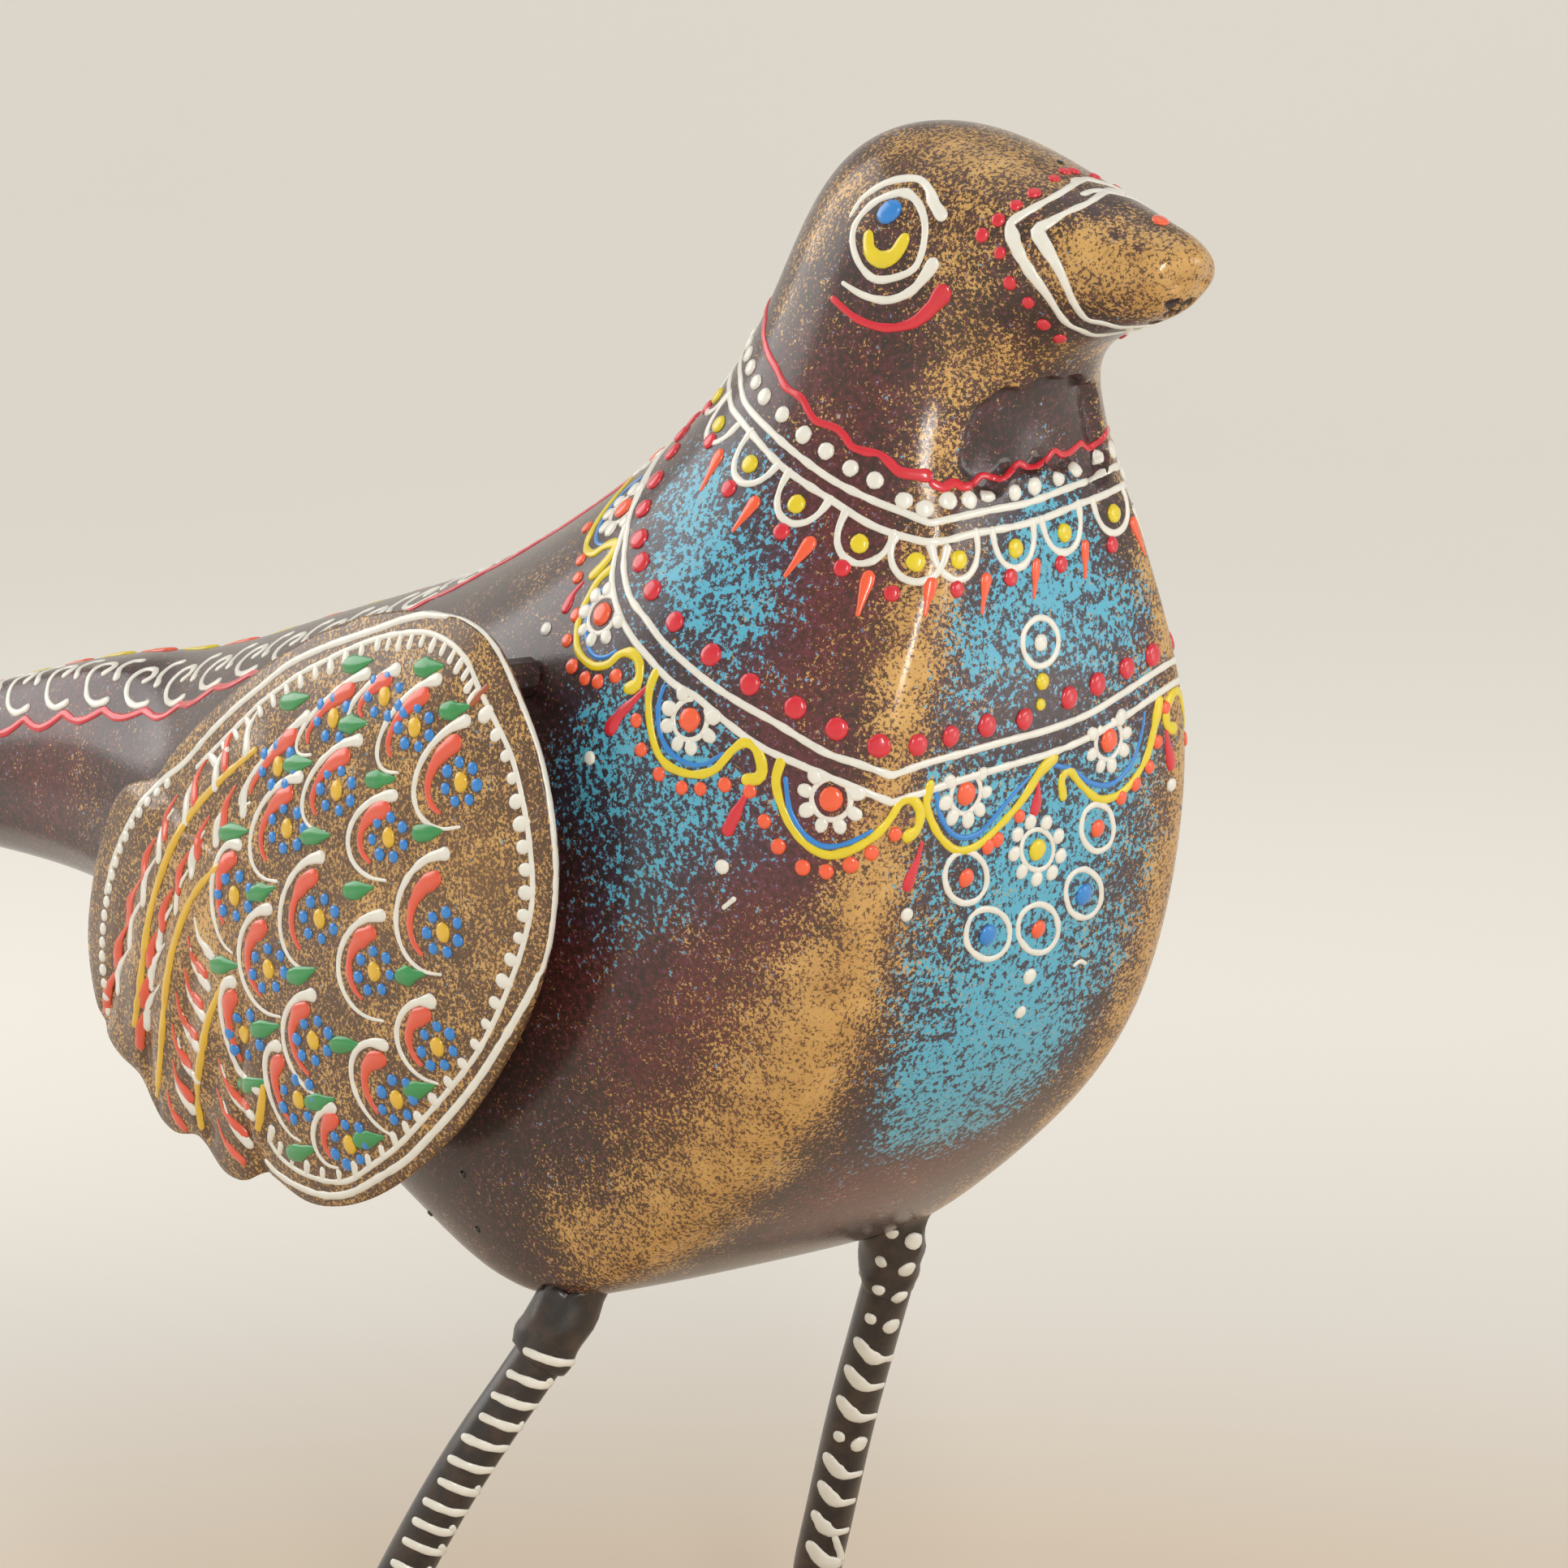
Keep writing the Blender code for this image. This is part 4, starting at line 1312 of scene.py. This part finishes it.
# The legs: white bars on the near one and commas on the far one, from collar to ankle
LEG_SCAN = {"right": (380, 780), "left": (900, 1200)}
LEG_TOPS = {"right": 1670, "left": 1523}
LEG_PITCH = {"right": 26, "left": 36}
ANKLE_PIXEL = 2120
SCAN_STEP = 2
# Marks on one row: shares of the leg's width from its left edge, and pixels below the row
BAR = ((0.27, -5), (0.50, 3), (0.74, 9), (0.96, 9))
COMMA = ((0.30, -8), (0.45, 4), (0.66, 12), (0.95, 9))
LEG_MARKS = {"right": (BAR, 11, (1.0, 1.15, 1.1, 0.9)), "left": (COMMA, 20, (1.1, 1.2, 0.6, 0.5))}
# The far leg's rows of two dots, each dot with its radius
DOT_ROWS = (0, 1, 2, 3, 7)
DOT_PAIR = ((0.36, -3, 9), (0.78, 6, 13))
BAR_SWAY = 0.04
ROW_SPREAD = (0.93, 1.07)


def leg_edges(tree, hand, py):
    """The leg's left and right edge on one row of pixels, or None past its end."""
    low, high = LEG_SCAN[hand]
    seen = [px for px in range(low, high, SCAN_STEP)
            if tree.ray_cast(EYE, photo_ray(px, py))[0]]
    return (seen[0], seen[-1]) if seen else None


def paint_leg(brush, hand):
    row = LEG_TOPS[hand]
    number = 0
    while row < ANKLE_PIXEL:
        edges = leg_edges(brush.tree, hand, row)
        if edges is None:
            break
        left, right = edges
        wide = right - left
        sway = brush.chance.uniform(-BAR_SWAY, BAR_SWAY)
        if hand == "left" and number in DOT_ROWS:
            for share, dip, radius in DOT_PAIR:
                brush.dot("white", brush.spot(left + wide * share, row + dip), radius)
        else:
            mark, width, shape = LEG_MARKS[hand]
            places = [(left + wide * (share + sway), row + dip) for share, dip in mark]
            brush.drawn("white", places, width, shape)
        row += LEG_PITCH[hand] * brush.chance.uniform(*ROW_SPREAD)
        number += 1


# The pieces that stand for the nodes. Spots are a pixel place, a radius in pixels and an amount:
# a depth in millimetres, or for the worn places the share of bronze that is gone.
BODY_FOLD = math.radians(26)
WING_FOLD = math.radians(60)
ROD_FOLD = math.radians(50)
DENTS = (
    (1470, 328, 20, -0.5), (1420, 345, 16, -0.3), (1375, 285, 22, 0.25), (1452, 352, 8, 0.6),
)
THROAT = (
    (1224, 520, 26, 2.0), (1214, 540, 24, 2.0), (1206, 566, 24, 2.0), (1244, 516, 36, 2.0),
    (1284, 500, 36, 2.0), (1318, 492, 24, 2.0), (1228, 556, 34, 2.0), (1270, 546, 38, 2.0),
    (1312, 524, 32, 2.0), (1218, 584, 24, 1.8),
)
BEAK_NOTCH = ((1447, 376, 10, 0.9), (1440, 387, 8, 0.7), (1468, 373, 7, 0.6), (1424, 397, 7, 0.5))
WORN = ((1347, 262, 10, 0.6), (1378, 288, 9, 0.6), (1404, 304, 7, 0.4), (1240, 392, 12, 0.7))
# Dots of dark paint where the body has small pits: painted shade in place of the holes.
PIT_SHADE_DOTS = ((570, 1447), (588, 1515), (530, 1495), (1306, 200))
PIT_SHADE_RADIUS = 5


def make_body(material):
    mesh = skin_of("body", BODY_FOLD, crease=0.35, levels=3)
    tree = tree_of(mesh)
    spray(mesh, "gold", tree, BODY_GOLD, base=0.08, bare_spots=THROAT + BEAK_NOTCH + WORN)
    spray(mesh, "blue", tree, BODY_BLUE, base=0.0, bare_spots=THROAT)
    spray(mesh, "maroon", tree, BODY_MAROON, base=0.2)
    press(mesh, tree, DENTS, THROAT + BEAK_NOTCH)
    add_piece(mesh, material, "body_lacquer", "body")
    return tree_of(mesh)


def make_wings(material, paints):
    """Both wings get the same relief and the same paint, one as the mirror of the other."""
    meshes = {hand: skin_of("wing_" + hand, WING_FOLD, crease=0.6, levels=2)
              for hand in ("right", "left")}
    flat = tree_of(meshes["right"])
    for hand, out in (("right", -1), ("left", 1)):
        mesh = meshes[hand]
        emboss(mesh, route_samples(flat, GROOVES, out > 0), GROOVE_WIDTH, -GROOVE_DEPTH, out)
        emboss(mesh, route_samples(flat, QUILLS, out > 0), QUILL_SPREAD, QUILL_RISE, out)
        spray(mesh, "gold", flat, WING_GOLD, base=0.52)
        spray(mesh, "blue", flat, WING_BLUE, base=0.0)
        add_piece(mesh, material, "wing_lacquer", "wing_" + hand)
    brush = Painter("wing_right", tree_of(meshes["right"]), seed=7)
    paint_wing(brush)
    brush.finish(paints, "wing_lacquer")
    brush.area = "wing_left"
    for colour, (places, faces) in brush.colours.items():
        brush.colours[colour] = ([mirrored(p) for p in places], faces)
    brush.finish(paints, "wing_lacquer")


# The collar's width in shares of the solid's, at its foot and at its top, and how far its top
# leans. Its skin is drawn to the belly within a reach, with a rim that bulges, and is lumpy.
COLLAR_FOOT = 0.9
COLLAR_TOP = {"right": 0.78, "left": 0.66}
COLLAR_LEAN = 1.3 * MM
COLLAR_END = 0.3
BELLY_REACH = 4.0 * MM
BELLY_BLEND = 3.0 * MM
SUNK = 0.1 * MM
RIM_BULGE = 0.5 * MM
LUMPS_PER_METRE = 260
LUMP_HEIGHT = 0.8 * MM


def close_collar(mesh, body_tree, top):
    """Slims the collar, and draws its top up until the lump of filler meets the belly."""
    middle = sum((v.co for v in mesh.vertices), Vector()) / len(mesh.vertices)
    low = min(mesh.vertices, key=lambda v: v.co.z).co.z
    high = max(mesh.vertices, key=lambda v: v.co.z).co.z
    ends = []
    for level in (low, high):
        ring = [v.co for v in mesh.vertices if abs(v.co.z - level) < (high - low) * COLLAR_END]
        ends.append(sum(ring, Vector()) / len(ring))
    axis = (ends[1] - ends[0]).normalized()
    for vertex in mesh.vertices:
        foot = ends[0] + axis * (vertex.co - ends[0]).dot(axis)
        share = clamped((vertex.co.z - low) / (high - low))
        slim = COLLAR_FOOT + (top - COLLAR_FOOT) * share
        vertex.co = foot + (vertex.co - foot) * slim - RIGHT * (COLLAR_LEAN * share)
    for vertex in mesh.vertices:
        place, normal, _, away = body_tree.find_nearest(vertex.co)
        near = clamped((BELLY_REACH - away) / BELLY_BLEND)
        out = vertex.co - middle
        out -= normal * out.dot(normal)
        lump = noise.noise(vertex.co * LUMPS_PER_METRE) * LUMP_HEIGHT
        moved = vertex.co.lerp(place - normal * SUNK, near)
        vertex.co = moved + out.normalized() * (near ** 2 * RIM_BULGE + lump)


def make_legs(black, paints, body_tree):
    """Legs, feet and the lumps of filler, rounded, and the white paint down each leg."""
    for hand in ("right", "left"):
        skins = {}
        for part, slot, levels in (("leg_", "black_enamel", 1), ("foot_", "black_enamel", 1),
                                   ("leg_collar_", "collar_lacquer", 2)):
            mesh = skin_of(part + hand, ROD_FOLD, crease=0.7, levels=levels)
            if part == "leg_collar_":
                close_collar(mesh, body_tree, COLLAR_TOP[hand])
            add_piece(mesh, black, slot, part + hand)
            skins[part] = mesh
        brush = Painter("leg_" + hand, tree_of(skins["leg_"], skins["leg_collar_"]), seed=11)
        paint_leg(brush, hand)
        brush.finish(paints, "black_enamel")


def paint_body(tree, paints):
    """All the enamel on the body, from the neck to the tail, and a few dark dots of painted shade
    where small pits are.
    """
    brush = Painter("body", tree, seed=3)
    paint_necklace(brush)
    paint_band(brush)
    paint_pendant(brush)
    paint_head(brush)
    band_end = brush.spot(*BAND_LOWER_RIGHT[0])
    paint_back(brush, band_end.y + BORDER_PITCH * BORDER_START)
    # Painted shade: dark dots for the pits.
    brush.dots("dark", PIT_SHADE_DOTS, PIT_SHADE_RADIUS)
    brush.finish(paints, "body_lacquer")


def finish_studs(coat):
    for hand in ("right", "left"):
        for end in ("front", "rear"):
            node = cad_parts["wing_stud_%s_%s" % (hand, end)]
            node.data.materials.clear()
            node.data.materials.append(coat)


# The stage: a pale floor that runs up into a low wall all round, and soft lights. Close to the bird
# the floor is painted darker and warmer, a painted shade, and far out it has a painted glow, where
# the lights don't reach.
FLOOR_REACH = 2.3
WALL_BEND = 1.0
WALL_HEIGHT = 1.5
STAGE_SIDES = 96
BEND_STEPS = 12
# Painted shade: full within the second distance from the bird, gone by the first. Painted glow:
# rising between its two distances, and its strength.
PAINTED_SHADE_WITHIN = (0.42, 0.12)
PAINTED_GLOW_BETWEEN = (0.0, 0.9)
PAINTED_GLOW = 0.36


def ramp(tree, value, between):
    """0 up to the first of two values, 1 from the second on, and smooth between them."""
    node = add_node(tree, "ShaderNodeMapRange", interpolation_type="SMOOTHSTEP")
    tree.links.new(value, node.inputs["Value"])
    node.inputs["From Min"].default_value, node.inputs["From Max"].default_value = between
    return node.outputs["Result"]


def make_stage():
    profile = [(FLOOR_REACH, 0.0)]
    for turn in turns(math.radians(90), BEND_STEPS)[1:]:
        profile.append((FLOOR_REACH + WALL_BEND * math.sin(turn),
                        WALL_BEND * (1 - math.cos(turn))))
    profile.append((FLOOR_REACH + WALL_BEND, WALL_HEIGHT))
    bm = bmesh.new()
    around = turns(math.tau, STAGE_SIDES)[:-1]
    rings = [[bm.verts.new((reach * math.cos(turn), reach * math.sin(turn), up))
              for turn in around] for reach, up in profile]
    bm.faces.new(rings[0])
    for near, far in zip(rings, rings[1:]):
        for i in range(STAGE_SIDES):
            k = (i + 1) % STAGE_SIDES
            bm.faces.new((near[i], near[k], far[k], far[i]))
    bmesh.ops.recalc_face_normals(bm, faces=bm.faces)
    mesh = bpy.data.meshes.new("backdrop")
    bm.to_mesh(mesh)
    bm.free()
    mesh.shade_smooth()
    mesh.materials.append(stage_paper())
    sheet = bpy.data.objects.new("backdrop", mesh)
    sheet.location = (BREAST.x, BREAST.y, 0.0)
    bpy.context.scene.collection.objects.link(sheet)


def stage_paper():
    """Pale paper, with painted shade that makes it darker and warmer close to the bird, and a
    painted glow of its own farther out.
    """
    material, tree, shader = principled("backdrop_paper")
    cloudy = noise_node(tree, scale=3)
    paper = mix_colour(tree, cloudy, linear(219, 214, 206), linear(216, 210, 201))
    place = add_node(tree, "ShaderNodeTexCoord")
    away = add_node(tree, "ShaderNodeVectorMath", operation="LENGTH")
    tree.links.new(place.outputs["Object"], away.inputs[0])
    # Painted shade: darker, warmer paper close to the bird.
    painted_shade = ramp(tree, away.outputs["Value"], PAINTED_SHADE_WITHIN)
    paper = mix_colour(tree, painted_shade, paper, linear(214, 196, 174))
    tree.links.new(paper, shader.inputs["Base Color"])
    shader.inputs["Roughness"].default_value = 0.9
    # Painted light: the paper glows of its own, the more the farther out it lies.
    shader.inputs["Emission Color"].default_value = (*linear(238, 237, 232), 1.0)
    painted_glow = maths(tree, "MULTIPLY", ramp(tree, away.outputs["Value"], PAINTED_GLOW_BETWEEN), PAINTED_GLOW)
    tree.links.new(painted_glow, shader.inputs["Emission Strength"])
    return material


def make_light(name, where, size, power, colour=(1.0, 1.0, 1.0)):
    """A soft light that faces the breast, placed to the camera's right, above and towards it."""
    data = bpy.data.lights.new(name, "AREA")
    data.shape = "RECTANGLE"
    data.size, data.size_y = size
    data.energy = power
    data.color = colour
    lamp = bpy.data.objects.new(name, data)
    right, above, nearer = where
    flat = Vector((BACK.x, BACK.y, 0.0)).normalized()
    lamp.location = BREAST + RIGHT * right + Vector((0, 0, above)) + flat * nearer
    lamp.rotation_mode = "QUATERNION"
    lamp.rotation_quaternion = (BREAST - lamp.location).to_track_quat("-Z", "Y")
    lamp.visible_camera = False
    bpy.context.scene.collection.objects.link(lamp)


def make_light_setup():
    """The pale sky and five soft lights: where each stands in metres, its size and its watts."""
    world = bpy.data.worlds.new("studio")
    world.use_nodes = True
    sky = world.node_tree.nodes["Background"]
    sky.inputs["Color"].default_value = (*linear(238, 232, 222), 1.0)
    sky.inputs["Strength"].default_value = 0.5
    bpy.context.scene.world = world
    bpy.context.scene.view_settings.view_transform = "Standard"
    make_light("left_window", (-1.05, 0.62, -0.40), (1.0, 1.0), 7.5)
    make_light("key", (0.16, 0.50, 1.02), (0.09, 0.40), 4.6, (1.0, 0.985, 0.96))
    make_light("top", (0.1, 1.2, -0.1), (1.2, 1.2), 2.2)
    make_light("right_fill", (1.1, 0.30, 0.35), (0.5, 0.4), 2.4)
    make_light("right_glint", (0.7, -0.06, 0.03), (0.12, 0.12), 0.10)


# Paint colours; dark is painted shade for the small pits.
PAINT_COLOURS = {
    "white": linear(240, 238, 228), "red": linear(222, 40, 56), "orange": linear(252, 100, 58),
    "orange_red": linear(236, 92, 62), "yellow": linear(238, 214, 36),
    "wing_yellow": linear(236, 190, 52), "blue": linear(46, 138, 220),
    "green": linear(46, 150, 78), "rust": linear(170, 88, 44), "dark": linear(30, 24, 22),
}

make_camera()
lacquer = speckled_lacquer("body_lacquer", thin_gold=0.25)
wing_lacquer = speckled_lacquer("wing_lacquer", thin_gold=0.7)
black = black_enamel("black_enamel")
paints = {colour: enamel("paint_" + colour, value) for colour, value in PAINT_COLOURS.items()}
body_tree = make_body(lacquer)
make_wings(wing_lacquer, paints)
make_legs(black, paints, body_tree)
finish_studs(lacquer)
paint_body(body_tree, paints)
make_stage()
make_light_setup()
